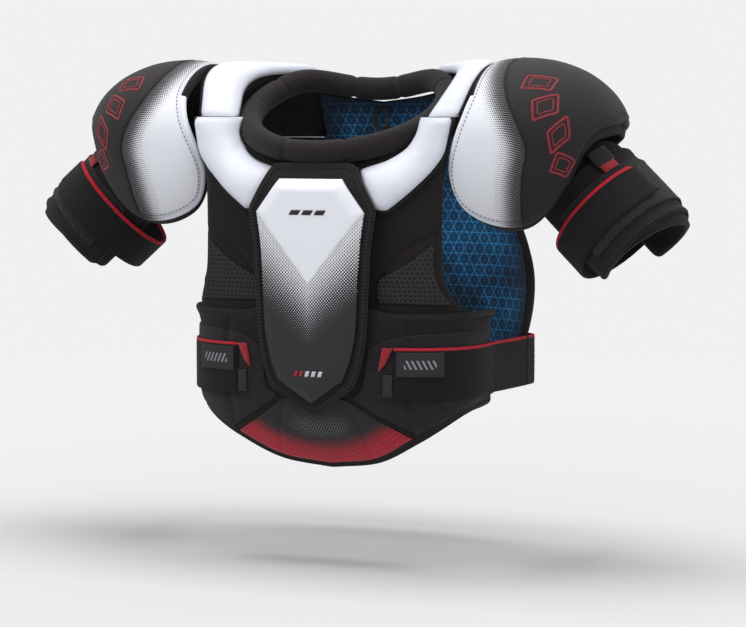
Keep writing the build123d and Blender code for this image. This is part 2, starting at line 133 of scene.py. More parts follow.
def through(points, t):
    """A smooth curve through points, at t from 0 to 1."""
    pts = np.array(points, float)
    pts = np.vstack([2 * pts[0] - pts[1], pts, 2 * pts[-1] - pts[-2]])
    u = np.clip(t, 0, 1) * (len(pts) - 3)
    i = np.minimum(u.astype(int), len(pts) - 4)
    f = (u - i)[:, None]
    a, b, c, d = pts[i], pts[i + 1], pts[i + 2], pts[i + 3]
    return 0.5 * (2 * b + (c - a) * f + (2 * a - 5 * b + 4 * c - d) * f**2 + (3 * b - a - 3 * c + d) * f**3)


def curve(points, step=4.0):
    """A smooth open run through points, at even steps."""
    pts = np.array(points, float)
    if len(pts) < 3:
        return even(pts, step)
    fine = through(pts, np.linspace(0, 1, 24 * len(pts)))
    return even(fine, step)


def even(points, step):
    pts = np.array(points, float)
    lengths = np.concatenate([[0], np.cumsum(np.linalg.norm(np.diff(pts, axis=0), axis=1))])
    count = max(2, int(round(lengths[-1] / step)) + 1)
    at = np.linspace(0, lengths[-1], count)
    return np.stack([np.interp(at, lengths, pts[:, k]) for k in range(pts.shape[1])], 1)


def arch_yz(x, t, depth):
    side = ((x - ARCH_X[0]) / (ARCH_X[1] - ARCH_X[0]))[:, None]
    under = through(NECK_UNDER, t) * (1 - side) + through(END_UNDER, t) * side
    over = through(NECK_OVER, t) * (1 - side) + through(END_OVER, t) * side
    return under + (over - under) * (depth / ARCH_DEPTH)[:, None]


ARCH_RUN = 210.0  # the arch's flat coordinates are (x, ARCH_RUN * t), so both are about millimetres


def arch(p, depth):
    yz = arch_yz(p[:, 0], p[:, 1] / ARCH_RUN, depth)
    return np.stack([p[:, 0], yz[:, 0], yz[:, 1]], 1)


def arch_flat(x, y):
    """The arch's flat coordinates of a plan point."""
    t = np.linspace(0, 1, 200)
    ys = arch_yz(np.full(200, float(x)), t, np.full(200, 15.0))[:, 0]
    return x, ARCH_RUN * float(np.interp(y, ys, t))


CAP_CENTRE = np.array([182.0, 15.0, -60.0])
CAP_RADIUS, CAP_RISE, CAP_DROP = 90.0, 66.0, 110.0
CAP_TURNS = np.linspace(90, -62, 400)


def dome(turn, depth):
    height = np.where(turn > 0, CAP_RISE, CAP_DROP) + depth
    return (CAP_RADIUS + depth) * np.cos(np.radians(turn)), height * np.sin(np.radians(turn))


_r, _h = dome(CAP_TURNS, 10.0)
CAP_ALONG = np.concatenate([[0], np.cumsum(np.hypot(np.diff(_r), np.diff(_h)))])


def cap(p, depth):
    """The shoulder cap's dome: p holds plan directions from the pole, as long as the way down the dome."""
    reach, way = np.hypot(p[:, 0], p[:, 1]), np.arctan2(p[:, 1], p[:, 0])
    r, h = dome(np.interp(reach, CAP_ALONG, CAP_TURNS), depth)
    return CAP_CENTRE + np.stack([r * np.cos(way), r * np.sin(way), h], 1)


def cap_flat(x, z, side):
    """The dome's flat coordinates of a point seen from the front; side is -1 in front and 1 behind."""
    turn = np.interp(z - CAP_CENTRE[2], _h[::-1], CAP_TURNS[::-1])
    radius = dome(turn, 10.0)[0]
    dx = np.clip(x - CAP_CENTRE[0], -radius, radius)
    way = np.arctan2(side * np.sqrt(np.maximum(radius**2 - dx**2, 0)), dx)
    reach = np.interp(-turn, -CAP_TURNS, CAP_ALONG)
    return reach * np.cos(way), reach * np.sin(way)


ARM_START = np.array([255.0, 20.0, -124.0])
ARM_AXIS = np.array(Vector((0.72, -0.15, -0.68)).normalized())
ARM_OUT = np.array(Vector((0.68, 0.0, 0.72)).normalized())
ARM_FRONT = np.cross(ARM_AXIS, ARM_OUT)
ARM_RADIUS = 57.0  # flat coordinates are (ARM_RADIUS * angle from the outer line towards the front, along)


def arm(p, radius):
    way = (p[:, 0] / ARM_RADIUS)[:, None]
    out = np.cos(way) * ARM_OUT + np.sin(way) * ARM_FRONT
    return ARM_START + p[:, 1:2] * ARM_AXIS + radius[:, None] * out


def arm_at(degrees):
    return math.radians(degrees) * ARM_RADIUS


BELLY_LOW_Z, BELLY_MID_Z, BELLY_HIGH_Z = -310, -285.0, -260  # the 50 mm strap
STRAP_DEPTH, ANCHOR_DEPTH = 21.5, 12.5  # the strap's inner side, and the middle of its anchor
_strap_turns = np.linspace(26.5, 90, 40)


def _strap_plan():
    x, y = form_xy(_strap_turns, np.full(40, STRAP_DEPTH), FRONT_FORM)
    curl = CURL * ramp(BELLY_MID_Z, CURL_START_Z, CURL_END_Z)
    plan = np.stack([x * (1 - WAIST), MID_Y - y + curl], 1)
    return curve(np.vstack([plan, [(157.0, 40), (163.0, 74)]]), 3.0)


STRAP_PLAN = _strap_plan()
STRAP_ALONG = np.concatenate([[0], np.cumsum(np.linalg.norm(np.diff(STRAP_PLAN, axis=0), axis=1))])
STRAP_END = STRAP_ALONG[-1]


def follow(p, height_out, along, plan, reach):
    """Points on an upright strip that follows a plan line, moved out from it by height_out."""
    at = [np.interp(p[:, 0] + d, along, plan[:, k]) for d in (0.0, reach, -reach) for k in (0, 1)]
    t = np.stack([at[2] - at[4], at[3] - at[5]], 1)
    t /= np.maximum(np.linalg.norm(t, axis=1), 1e-9)[:, None]
    out = np.stack([t[:, 1], -t[:, 0]], 1) * height_out[:, None]
    return np.stack([at[0] + out[:, 0], at[1] + out[:, 1], p[:, 1]], 1)


def strap_side(p, depth):
    """The belly strap's route: p holds (distance from the hook end, height)."""
    return follow(p, depth - STRAP_DEPTH, STRAP_ALONG, STRAP_PLAN, 2)


# ---------------------------------------------------------------------------------------------- mesh making
def mirrored(points):
    """A closed outline from its right half, which starts and ends on the middle line."""
    pts = np.array(points, float)
    left = pts[::-1] * [-1, 1]
    keep = np.abs(left[:, 0]) > 0.3
    return np.vstack([pts, left[keep]])


def segments_distance(p, line, closed=False):
    """The distance of each point from a polyline, and how far along it the nearest point lies."""
    a = line if closed else line[:-1]
    b = np.roll(line, -1, 0) if closed else line[1:]
    along = np.concatenate([[0], np.cumsum(np.linalg.norm(b - a, axis=1))])[:-1]
    best, where = np.full(len(p), 1e9), np.zeros(len(p))
    for k in range(len(a)):
        ab = b[k] - a[k]
        size = max(ab @ ab, 1e-9)
        t = np.clip((p - a[k]) @ ab / size, 0, 1)
        d = np.linalg.norm(p - a[k] - t[:, None] * ab, axis=1)
        near = d < best
        best = np.where(near, d, best)
        where = np.where(near, along[k] + t * math.sqrt(size), where)
    return best, where


def inside(p, loop):
    x, y = p[:, 0], p[:, 1]
    x0, y0 = loop[:, 0], loop[:, 1]
    x1, y1 = np.roll(x0, -1), np.roll(y0, -1)
    hit = np.zeros(len(p), bool)
    for k in range(len(loop)):
        crosses = (y0[k] > y) != (y1[k] > y)
        with np.errstate(divide="ignore", invalid="ignore"):
            at = (x1[k] - x0[k]) * (y - y0[k]) / (y1[k] - y0[k]) + x0[k]
        hit ^= crosses & (x < at)
    return hit


def fill(loop, step, seams=()):
    """Triangulates a closed outline with rows near its edge and seams, and a grid inside."""
    low, high = loop.min(0), loop.max(0)
    xs = np.arange(low[0], high[0] + step, step)
    ys = np.arange(low[1], high[1] + step, step * 0.87)
    grid = np.array([(x + (0.5 * step if j % 2 else 0), y) for j, y in enumerate(ys) for x in xs])
    gap = 0.6 * step
    following, before = np.roll(loop, -1, 0), np.roll(loop, 1, 0)
    tangent = following - before
    normal = np.stack([-tangent[:, 1], tangent[:, 0]], 1)
    normal /= np.maximum(np.linalg.norm(normal, axis=1), 1e-9)[:, None]
    normal *= np.sign(np.sum(loop[:, 0] * following[:, 1] - following[:, 0] * loop[:, 1]))
    insets = [i for i in (1.0, 2.5, 4.5, 7.0) if i < 0.2 * np.min(high - low)]
    points, edges, seam_lines = [loop], [(i, (i + 1) % len(loop)) for i in range(len(loop))], []
    count = len(loop)
    for seam in seams:
        t = np.gradient(seam, axis=0)
        n = np.stack([-t[:, 1], t[:, 0]], 1) / np.maximum(np.linalg.norm(t, axis=1), 1e-9)[:, None]
        for off in (0.0, -2.0, 2.0):
            row = seam + n * off
            far = segments_distance(row, loop, True)[0] > 1.2
            clear = np.min([segments_distance(row, o)[0] for o in seam_lines] or [np.full(len(row), 9.0)],
                axis=0) > 1.2
            good = far & inside(row, loop) & clear
            if off == 0.0:
                index = count + np.cumsum(good) - 1
                edges += [(index[i], index[i + 1]) for i in range(len(row) - 1) if good[i] and good[i + 1]]
            points.append(row[good])
            count += int(good.sum())
        seam_lines.append(seam)
    for inset in insets:
        row = loop + normal * inset
        good = (segments_distance(row, loop, True)[0] > 0.93 * inset) & inside(row, loop)
        for seam in seams:
            good &= segments_distance(row, seam)[0] > 2.6
        points.append(row[good])
    keep = inside(grid, loop) & (segments_distance(grid, loop, True)[0] > (insets[-1] if insets else 0) + gap)
    for seam in seams:
        keep &= segments_distance(grid, seam)[0] > 2.0 + gap
    points = np.vstack(points + [grid[keep]])
    verts, _, faces, _, _, _ = delaunay_2d_cdt([Vector(q) for q in points], edges, [], 1, 0.05, False)
    verts = np.array([(v.x, v.y) for v in verts])
    faces = [tuple(f) for f in faces if len(f) == 3]
    good = inside(np.array([verts[list(f)].mean(0) for f in faces]), loop)
    return verts, [f for f, g in zip(faces, good) if g]


def wrinkle(p, scale, seed, stretch=1.0):
    return np.array([noise.noise(Vector((q[0] / scale, q[1] / scale / stretch, seed))) for q in p])


def new_mesh(name, verts, faces, uvs=None, attributes=None, material=None, smooth_faces=True):
    """A mesh object from points in millimetres. uvs holds one pair per vertex, in millimetres."""
    mesh = bpy.data.meshes.new(name)
    mesh.from_pydata([tuple(v * MM) for v in np.asarray(verts, float)], [], [tuple(f) for f in faces])
    bm = bmesh.new()
    bm.from_mesh(mesh)
    bmesh.ops.recalc_face_normals(bm, faces=bm.faces)
    bm.to_mesh(mesh)
    bm.free()
    if uvs is not None:
        layer = mesh.uv_layers.new(name="PanelUV")
        index = np.empty(len(mesh.loops), int)
        mesh.loops.foreach_get("vertex_index", index)
        layer.data.foreach_set("uv", (np.asarray(uvs, np.float32)[index] * MM).ravel())
    for key, values in (attributes or {}).items():
        mesh.attributes.new(key, "FLOAT", "POINT").data.foreach_set("value", np.asarray(values, np.float32))
    mesh.polygons.foreach_set("use_smooth", [smooth_faces] * len(mesh.polygons))
    mesh.update()
    obj = bpy.data.objects.new(name, mesh)
    bpy.context.scene.collection.objects.link(obj)
    if material:
        mesh.materials.append(material)
    return obj


class Pad:
    """A padded panel over a form: flat underneath, puffed on top, thin at its sewn edge and along its seams."""

    def __init__(self, surface, loop, base, top, edge=0.4, round_over=9.0, crown=0.12, seams=(), seam_depth=0.45,
                 seam_width=2.2, wrinkles=0.25, scale=26.0, seed=1.0, stretch=1.0, under=None, flush=None,
                     relief=None):
        self.surface, self.loop, self.base, self.top = surface, np.array(loop, float), base, top
        self.edge, self.round_over, self.crown = edge, round_over, crown
        self.seams, self.seam_depth, self.seam_width = [np.array(s, float) for s in seams], seam_depth, seam_width
        self.wrinkles, self.scale, self.seed, self.stretch = wrinkles, scale, seed, stretch
        self.under, self.relief = under, relief
        closed = np.vstack([self.loop, self.loop[:1]])
        open_side = flush(closed) if flush else np.zeros(len(closed), bool)
        joined = open_side[:-1] & open_side[1:]
        self.sewn = [closed[i : i + 2] for i in range(len(self.loop)) if not joined[i]]
        self.joined = [closed[i : i + 2] for i in range(len(self.loop)) if joined[i]]

    def _nearest(self, flat, parts):
        best = np.full(len(flat), BIG)
        for part in parts:
            best = np.minimum(best, segments_distance(flat, part)[0])
        return best

    def low(self, flat):
        return self.under.high(flat) + 0.25 if self.under else np.full(len(flat), float(self.base))

    def high(self, flat):
        full = self.top - self.base
        sewn, joined = self._nearest(flat, self.sewn), self._nearest(flat, self.joined)
        rise = np.sqrt(np.clip(1 - (1 - np.clip(sewn / self.round_over, 0, 1)) ** 2, 0, 1))
        share = self.edge + (1 - self.crown - self.edge) * rise + self.crown * smooth(sewn / 34.0)
        share *= 1 - 0.3 * np.exp(-((joined / 2.6) ** 2))
        for seam in self.seams:
            near = segments_distance(flat, seam)[0]
            share *= 1 - self.seam_depth * np.exp(-((near / self.seam_width) ** 2))
        depth = full * share
        if self.relief is not None:
            depth = self.relief(flat, sewn, full)
        if self.wrinkles:
            inner = smooth(np.minimum(sewn, joined) / 8.0)
            depth = depth + self.wrinkles * inner * wrinkle(flat, self.scale, self.seed, self.stretch)
        return self.low(flat) + np.clip(depth, 0.25, full)

    def build(self, name, material, step=4.5, only=None, attributes=None):
        flat, faces = fill(self.loop, step, self.seams)
        if only is not None:
            keep_face = only(np.array([flat[list(f)].mean(0) for f in faces]))
            faces = [f for f, good in zip(faces, keep_face) if good]
            used = sorted({i for f in faces for i in f})
            index = {old: new for new, old in enumerate(used)}
            flat, faces = flat[used], [tuple(index[i] for i in f) for f in faces]
        dist, along = segments_distance(flat, self.loop, True)
        upper, lower = self.surface(flat, self.high(flat)), self.surface(flat, self.low(flat))
        n = len(flat)
        sides = {}
        for f in faces:
            for a, b in zip(f, f[1:] + f[:1]):
                if (b, a) in sides:
                    del sides[(b, a)]
                else:
                    sides[(a, b)] = True
        all_faces = list(faces) + [tuple(i + n for i in reversed(f)) for f in faces]
        all_faces += [(b, a, a + n, b + n) for a, b in sides]
        extra = {"edge": np.concatenate([dist, -dist - 1]), "along": np.concatenate([along, along])}
        for key, make in (attributes or {}).items():
            value = make(flat)
            extra[key] = np.concatenate([value, value])
        return new_mesh(name, np.vstack([upper, lower]), all_faces, np.vstack([flat, flat]), extra, material)

    def line(self, line, above=0.0, share=1.0):
        """3-D points and normals of a flat line on this pad's top, or part of the way up its side."""
        line = np.array(line, float)
        low, high = self.low(line), self.high(line)
        return lift(self.surface, line, low + (high - low) * share + above)


def soften(points, times=3, closed=True):
    pts = np.array(points, float)
    for _ in range(times):
        if closed:
            pts = 0.25 * np.roll(pts, 1, 0) + 0.5 * pts + 0.25 * np.roll(pts, -1, 0)
        else:
            pts[1:-1] = 0.25 * pts[:-2] + 0.5 * pts[1:-1] + 0.25 * pts[2:]
    return pts


def binding(name, pad, material, half_width=3.4, proud=0.5, step=3.0, times=3, line=None):
    """A bound edge: a folded tape round a pad's outline."""
    path = even(np.vstack([pad.loop, pad.loop[:1]]), step)[:-1] if line is None else even(line, step)
    path = soften(path, times, line is None)
    low, high = pad.low(path), pad.high(path)
    points, normals = lift(pad.surface, path, (low + high) / 2)
    thick = (high - low) / 2 + proud
    mean = float(np.mean(thick))
    return sweep(name, points, normals, half_width, mean, material, line is None, 12, None, 2.6)


def stitch_line(name, pad, line, material, closed=False, **options):
    path = even(np.vstack([line, line[:1]]) if closed else line, 2.5)
    points, normals = pad.line(path, 0.25)
    return stitches(name, points, normals, material, **options)


def inset_line(loop, inset):
    """The outline moved inwards."""
    loop = soften(even(np.vstack([loop, loop[:1]]), 3.0)[:-1], 4)
    tangent = np.roll(loop, -1, 0) - np.roll(loop, 1, 0)
    normal = np.stack([-tangent[:, 1], tangent[:, 0]], 1)
    normal /= np.maximum(np.linalg.norm(normal, axis=1), 1e-9)[:, None]
    area = np.sum(loop[:, 0] * np.roll(loop[:, 1], -1) - np.roll(loop[:, 0], -1) * loop[:, 1])
    row = loop + normal * np.sign(area) * inset
    return row[segments_distance(row, loop, True)[0] > 0.9 * inset]


def lift(surface, line, depth):
    """The 3-D points and outward normals of a flat line at a depth above a form."""
    line = np.array(line, float)
    depth = np.full(len(line), float(depth)) if np.isscalar(depth) else depth
    low, high = surface(line, depth - 0.5), surface(line, depth + 0.5)
    normal = high - low
    return (low + high) / 2, normal / np.linalg.norm(normal, axis=1)[:, None]


def sweep(name, points, normals, half_width, half_thick, material, closed=True, sides=10, shape=None, square=2.0):
    """A soft tape or roll: an oval section swept along points, its flat side facing the normals."""
    pts, nrm = np.array(points, float), np.array(normals, float)
    nxt = np.roll(pts, -1, 0) if closed else np.vstack([pts[1:], 2 * pts[-1:] - pts[-2:-1]])
    prv = np.roll(pts, 1, 0) if closed else np.vstack([2 * pts[:1] - pts[1:2], pts[:-1]])
    tangent = nxt - prv
    tangent /= np.maximum(np.linalg.norm(tangent, axis=1), 1e-9)[:, None]
    side = np.cross(tangent, nrm)
    side /= np.maximum(np.linalg.norm(side, axis=1), 1e-9)[:, None]
    nrm = np.cross(side, tangent)
    angle = np.linspace(0, 2 * math.pi, sides, endpoint=False)
    c, s = np.cos(angle), np.sin(angle)
    c, s = np.sign(c) * np.abs(c) ** (2 / square), np.sign(s) * np.abs(s) ** (2 / square)
    scale = np.ones(len(pts)) if shape is None else shape
    ring = side[:, None, :] * (c * half_width)[None, :, None] + nrm[:, None, :] * (s * half_thick)[None, :, None]
    verts = (pts[:, None, :] + ring * scale[:, None, None]).reshape(-1, 3)
    n, m = len(pts), sides
    faces = []
    for i in range(n if closed else n - 1):
        j = (i + 1) % n
        for k in range(m):
            l = (k + 1) % m
            faces.append((i * m + k, i * m + l, j * m + l, j * m + k))
    if not closed:
        faces += [tuple(range(m)), tuple((n - 1) * m + k for k in range(m))]
    along = np.concatenate([[0], np.cumsum(np.linalg.norm(np.diff(pts, axis=0), axis=1))])
    uvs = np.stack([np.repeat(along, m), np.tile(angle * half_width, n)], 1)
    around = np.tile(s, n)
    return new_mesh(name, verts, faces, uvs, {"top": around, "along": np.repeat(along, m)}, material)


def stitches(name, points, normals, material, length=2.6, gap=1.7, radius=0.45, sink=0.15):
    """A row of sewn stitches: short beads lying along a line."""
    pts, nrm = np.array(points, float), np.array(normals, float)
    along = np.concatenate([[0], np.cumsum(np.linalg.norm(np.diff(pts, axis=0), axis=1))])
    verts, faces, uvs = [], [], []
    rings, sides = ((-1, 0.35), (-0.7, 0.9), (0.7, 0.9), (1, 0.35)), 6
    start = 0.5 * gap
    while start + length < along[-1]:
        mid = start + length / 2
        c = np.array([np.interp(mid, along, pts[:, k]) for k in range(3)])
        a = np.array([np.interp(start, along, pts[:, k]) for k in range(3)])
        b = np.array([np.interp(start + length, along, pts[:, k]) for k in range(3)])
        n = np.array([np.interp(mid, along, nrm[:, k]) for k in range(3)])
        t = (b - a) / max(np.linalg.norm(b - a), 1e-9)
        w = np.cross(t, n)
        w /= max(np.linalg.norm(w), 1e-9)
        n = np.cross(w, t)
        at = len(verts)
        for along_ring, size in rings:
            for k in range(sides):
                way = 2 * math.pi * k / sides
                off = (math.cos(way) * w + math.sin(way) * n) * radius * size
                verts.append(c + t * along_ring * length / 2 + off - n * sink)
                uvs.append((start + along_ring, way))
        for r in range(len(rings) - 1):
            for k in range(sides):
                l = (k + 1) % sides
                faces.append((at + r * sides + k, at + r * sides + l, at + (r + 1) * sides + l,
                    at + (r + 1) * sides + k))
        faces.append(tuple(at + k for k in range(sides)))
        faces.append(tuple(at + (len(rings) - 1) * sides + k for k in range(sides)))
        start += length + gap
    return new_mesh(name, np.array(verts), faces, uvs, None, material)


def inflate(obj, most=3.0, pressure=400.0, steps=20, pin=2.2, seams=(), reach=1.8):
    """Puffs a pad's top with a short cloth simulation. Its underside, its sewn edge and its seams are held, and
    no point moves further than most, in millimetres."""
    mesh = obj.data
    count = len(mesh.vertices)
    start, edge = np.empty(count * 3, np.float32), np.empty(count, np.float32)
    mesh.vertices.foreach_get("co", start)
    mesh.attributes["edge"].data.foreach_get("value", edge)
    held = edge < pin
    if seams:
        flat = np.empty(len(mesh.loops) * 2, np.float32)
        mesh.uv_layers["PanelUV"].data.foreach_get("uv", flat)
        index = np.empty(len(mesh.loops), int)
        mesh.loops.foreach_get("vertex_index", index)
        place = np.zeros((count, 2))
        place[index] = flat.reshape(-1, 2) / MM
        for seam in seams:
            held |= segments_distance(place, np.array(seam, float))[0] < reach
    group = obj.vertex_groups.new(name="held")
    group.add([int(i) for i in np.where(held)[0]], 1.0, "REPLACE")
    cloth = obj.modifiers.new("puff", "CLOTH")
    rules = cloth.settings
    rules.quality, rules.mass, rules.vertex_group_mass = 5, 0.15, "held"
    rules.tension_stiffness = rules.compression_stiffness = 8
    rules.shear_stiffness, rules.bending_stiffness, rules.air_damping = 6, 0.2, 3
    rules.use_pressure, rules.uniform_pressure_force = True, pressure
    rules.effector_weights.gravity = 0
    cloth.collision_settings.use_collision = False
    cloth.point_cache.frame_start, cloth.point_cache.frame_end = 1, 20
    for frame_number in range(1, steps + 1):
        bpy.context.scene.frame_set(frame_number)
    puffed = obj.evaluated_get(bpy.context.evaluated_depsgraph_get())
    end = np.empty(count * 3, np.float32)
    puffed.data.vertices.foreach_get("co", end)
    move = (end - start).reshape(-1, 3)
    size = np.linalg.norm(move, axis=1)
    limit = most * MM
    move *= (limit * np.tanh(size / limit) / np.maximum(size, 1e-12))[:, None]
    obj.modifiers.remove(cloth)
    obj.vertex_groups.remove(group)
    mesh.vertices.foreach_set("co", (start.reshape(-1, 3) + move).ravel())
    mesh.update()
    bpy.context.scene.frame_set(1)
    return obj


def flip(obj, name, material=None):
    """The mirror image of a left piece, for the right side."""
    mesh = obj.data.copy()
    mesh.name = name
    mesh.transform(Matrix.Scale(-1, 4, (1, 0, 0)))
    mesh.flip_normals()
    twin = bpy.data.objects.new(name, mesh)
    bpy.context.scene.collection.objects.link(twin)
    if material:
        mesh.materials.clear()
        mesh.materials.append(material)
    return twin


made = {}


def keep(obj, body, nodes=(), finish=None, pad=None):
    """Records a finished piece: what it rides on and which CAD nodes it stands for. Its finish and its filling
    (finish, pad) are not used.
    """
    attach(obj, body)
    if nodes:
        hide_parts(*([nodes] if isinstance(nodes, str) else nodes))
    made[obj.name] = obj
    return obj


def lining(obj):
    """Hands back a lining, a sheet of cloth stretched over the inner side of a pad, unchanged."""
    return obj


def both(obj, body, nodes=(), finish=None, pad=None):
    """Keeps a left piece and its mirror image. Names starting with left_ become right_."""
    twin = flip(obj, obj.name.replace("left_", "right_", 1))
    names = [nodes] if isinstance(nodes, str) else list(nodes)
    keep(obj, body, names, finish, pad)
    other = [n.replace("left_", "right_", 1) for n in names]
    return obj, keep(twin, body.replace("left_", "right_", 1), other, finish, pad)


# ---------------------------------------------------------------------------------------------- materials
def colour(text):
    """A linear colour from a web colour such as 8a1020."""
    out = []
    for i in (0, 2, 4):
        v = int(text[i : i + 2], 16) / 255
        out.append(v / 12.92 if v <= 0.04045 else ((v + 0.055) / 1.055) ** 2.4)
    return (*out, 1.0)


class Val:
    """A number inside a material's node tree, which plain arithmetic works on."""

    def __init__(self, look, socket):
        self.look, self.socket = look, socket

    def _do(self, kind, *others):
        return self.look.math(kind, self, *others)

    def __add__(self, o):
        return self._do("ADD", o)

    def __sub__(self, o):
        return self._do("SUBTRACT", o)

    def __mul__(self, o):
        return self._do("MULTIPLY", o)

    def __truediv__(self, o):
        return self._do("DIVIDE", o)

    __radd__, __rmul__ = __add__, __mul__

    def __rsub__(self, o):
        return self.look.math("SUBTRACT", o, self)

    def __neg__(self):
        return self._do("MULTIPLY", -1.0)

    def abs(self):
        return self._do("ABSOLUTE")

    def sin(self):
        return self._do("SINE")

    def floor(self):
        return self._do("FLOOR")

    def mod(self, o):
        return self._do("FLOORED_MODULO", o)

    def root(self):
        return self._do("SQRT")

    def low(self, o):
        return self._do("MINIMUM", o)

    def high(self, o):
        return self._do("MAXIMUM", o)

    def wave(self, length):
        return (self * (2 * math.pi / length)).sin()

    def unit(self):
        return self.high(0.0).low(1.0)

    def step(self, a, b):
        """0 below a, 1 above b, smooth between. Falls instead where b is less than a."""
        node = self.look.node("ShaderNodeMapRange", interpolation_type="SMOOTHSTEP")
        self.look.set(node.inputs["Value"], self)
        low, high, out = (a, b, (0.0, 1.0)) if a < b else (b, a, (1.0, 0.0))
        node.inputs["From Min"].default_value, node.inputs["From Max"].default_value = low, high
        node.inputs["To Min"].default_value, node.inputs["To Max"].default_value = out
        return Val(self.look, node.outputs[0])

    def line(self, width, soft):
        """1 within width of zero, fading over soft."""
        return self.abs().step(width + soft, width)


SOCKETS = {"sheen": "Sheen Weight", "sheen_rough": "Sheen Roughness", "specular": "Specular IOR Level",
           "coat": "Coat Weight", "coat_rough": "Coat Roughness", "glow": "Emission Strength"}


class Look:
    """A procedural material. Lengths inside it are millimetres."""

    def __init__(self, name, **constants):
        self.material = bpy.data.materials.new(name)
        self.material.use_nodes = True
        self.tree = self.material.node_tree
        self.tree.nodes.clear()
        self.out = self.node("ShaderNodeOutputMaterial")
        self.shader = self.node("ShaderNodeBsdfPrincipled")
        self.tree.links.new(self.shader.outputs[0], self.out.inputs["Surface"])
        for key, value in constants.items():
            self.shader.inputs[SOCKETS[key]].default_value = value

    def node(self, kind, **settings):
        made_node = self.tree.nodes.new(kind)
        for key, value in settings.items():
            setattr(made_node, key, value)
        return made_node

    def set(self, socket, value):
        if isinstance(value, Val):
            self.tree.links.new(value.socket, socket)
        else:
            socket.default_value = value

    def math(self, kind, *values):
        made_node = self.node("ShaderNodeMath", operation=kind)
        for socket, value in zip(made_node.inputs, values):
            self.set(socket, value)
        return Val(self, made_node.outputs[0])

    def _split(self, socket):
        scale = self.node("ShaderNodeVectorMath", operation="SCALE")
        self.tree.links.new(socket, scale.inputs[0])
        scale.inputs["Scale"].default_value = 1000.0
        parts = self.node("ShaderNodeSeparateXYZ")
        self.tree.links.new(scale.outputs[0], parts.inputs[0])
        return [Val(self, o) for o in parts.outputs], Val(self, scale.outputs[0])

    def uv(self):
        """The flat coordinates of the panel, in millimetres."""
        parts, self.flat = self._split(self.node("ShaderNodeUVMap", uv_map="PanelUV").outputs[0])
        return parts[0], parts[1]

    def place(self):
        """The place on the object itself, in millimetres."""
        parts, self.solid = self._split(self.node("ShaderNodeTexCoord").outputs["Object"])
        return parts

    def attr(self, name):
        return Val(self, self.node("ShaderNodeAttribute", attribute_name=name).outputs["Fac"])

    def noise(self, vector, scale, detail=3.0, rough=0.55):
        made_node = self.node("ShaderNodeTexNoise")
        self.set(made_node.inputs["Vector"], vector)
        made_node.inputs["Scale"].default_value = scale
        made_node.inputs["Detail"].default_value = detail
        made_node.inputs["Roughness"].default_value = rough
        return Val(self, made_node.outputs["Fac"])

    def cells(self, vector, scale, feature="F1"):
        made_node = self.node("ShaderNodeTexVoronoi", feature=feature)
        self.set(made_node.inputs["Vector"], vector)
        made_node.inputs["Scale"].default_value = scale
        return Val(self, made_node.outputs["Distance"])

    def mix(self, share, a, b):
        made_node = self.node("ShaderNodeMix", data_type="RGBA")
        self.set(made_node.inputs[0], share)
        for socket, value in ((made_node.inputs[6], a), (made_node.inputs[7], b)):
            self.set(socket, colour(value) if isinstance(value, str) else value)
        return Val(self, made_node.outputs[2])

    def dots(self, u, v, pitch_u, pitch_v, radius, soft=0.12):
        """Staggered round dots: 1 inside a dot. radius may change over the surface."""
        row = (v / pitch_v).floor()
        shifted = u + row.mod(2.0) * (pitch_u / 2)
        du = shifted.mod(pitch_u) - pitch_u / 2
        dv = v.mod(pitch_v) - pitch_v / 2
        reach = (du * du + dv * dv).root()
        return (radius - reach).step(-soft, soft)

    def finish(self, base, rough=0.8, height=None, distance=0.3, strength=1.0):
        """distance is how high, in millimetres, a height of 1 stands."""
        self.set(self.shader.inputs["Base Color"], colour(base) if isinstance(base, str) else base)
        self.set(self.shader.inputs["Roughness"], rough)
        if height is not None:
            bump = self.node("ShaderNodeBump")
            bump.inputs["Strength"].default_value = strength
            bump.inputs["Distance"].default_value = distance * MM
            self.set(bump.inputs["Height"], height)
            self.tree.links.new(bump.outputs[0], self.shader.inputs["Normal"])
        return self.material


def panel_look(name, **constants):
    """A material with the panel's flat coordinates at hand."""
    look = Look(name, **constants)
    u, v = look.uv()
    look.place()
    return look, u, v


def knit_height(u, v, wale=1.15, course=0.9):
    """Knitted loops: rows of small slanting bumps."""
    a = u.wave(wale)
    b = (v + a * 0.22).wave(course)
    return a.abs() * 0.55 + b * 0.3


def knit(name, dark, light, sheen=0.15, wale=1.15, course=0.9, bump=0.16, rough=0.88, grime=0.5):
    look, u, v = panel_look(name, sheen=sheen, sheen_rough=0.55, specular=0.25)
    height = knit_height(u, v, wale, course)
    cloud, fuzz = look.noise(look.solid, 0.035, 3), look.noise(look.solid, 1.6, 2)
    edge = look.attr("edge")
    # Patches within 7 mm of the sewn edge are painted lighter: painted sheen where the pad rolls over to its edge.
    painted_edge_sheen = edge.step(7.0, 0.0) * look.noise(look.solid, 0.25, 3).step(0.45, 0.75)
    share = (height * 0.28 + fuzz * 0.5 + (cloud - 0.5) * grime + painted_edge_sheen * 0.25).unit()
    return look.finish(look.mix(share, dark, light), rough, height * 0.7 + fuzz * 0.6, bump)


def white_synthetic(name, base="eef0f8", shade="c6cad9", bump=0.1):
    """A smooth white coated fabric with a fine weave, painted darker towards its edge: painted shade where the pad
    rounds down to its seam.
    """
    look, u, v = panel_look(name, specular=0.35, sheen=0.1, sheen_rough=0.5)
    weave = u.wave(0.75) * v.wave(0.75)
    cloud = look.noise(look.solid, 0.03, 4)
    crease = look.noise(look.solid, 0.09, 2, 0.4)
    edge = look.attr("edge")
    # Within 9 mm of the edge the white is mixed towards the shade colour: painted shade along the rounded edge.
    share = (edge.step(9.0, 0.0) * 0.45 + (cloud - 0.5) * 0.35 + weave * 0.05).unit()
    rough = cloud * 0.16 + 0.46
    return look.finish(look.mix(share, base, shade), rough, weave * 0.35 + crease * 4.0, bump)


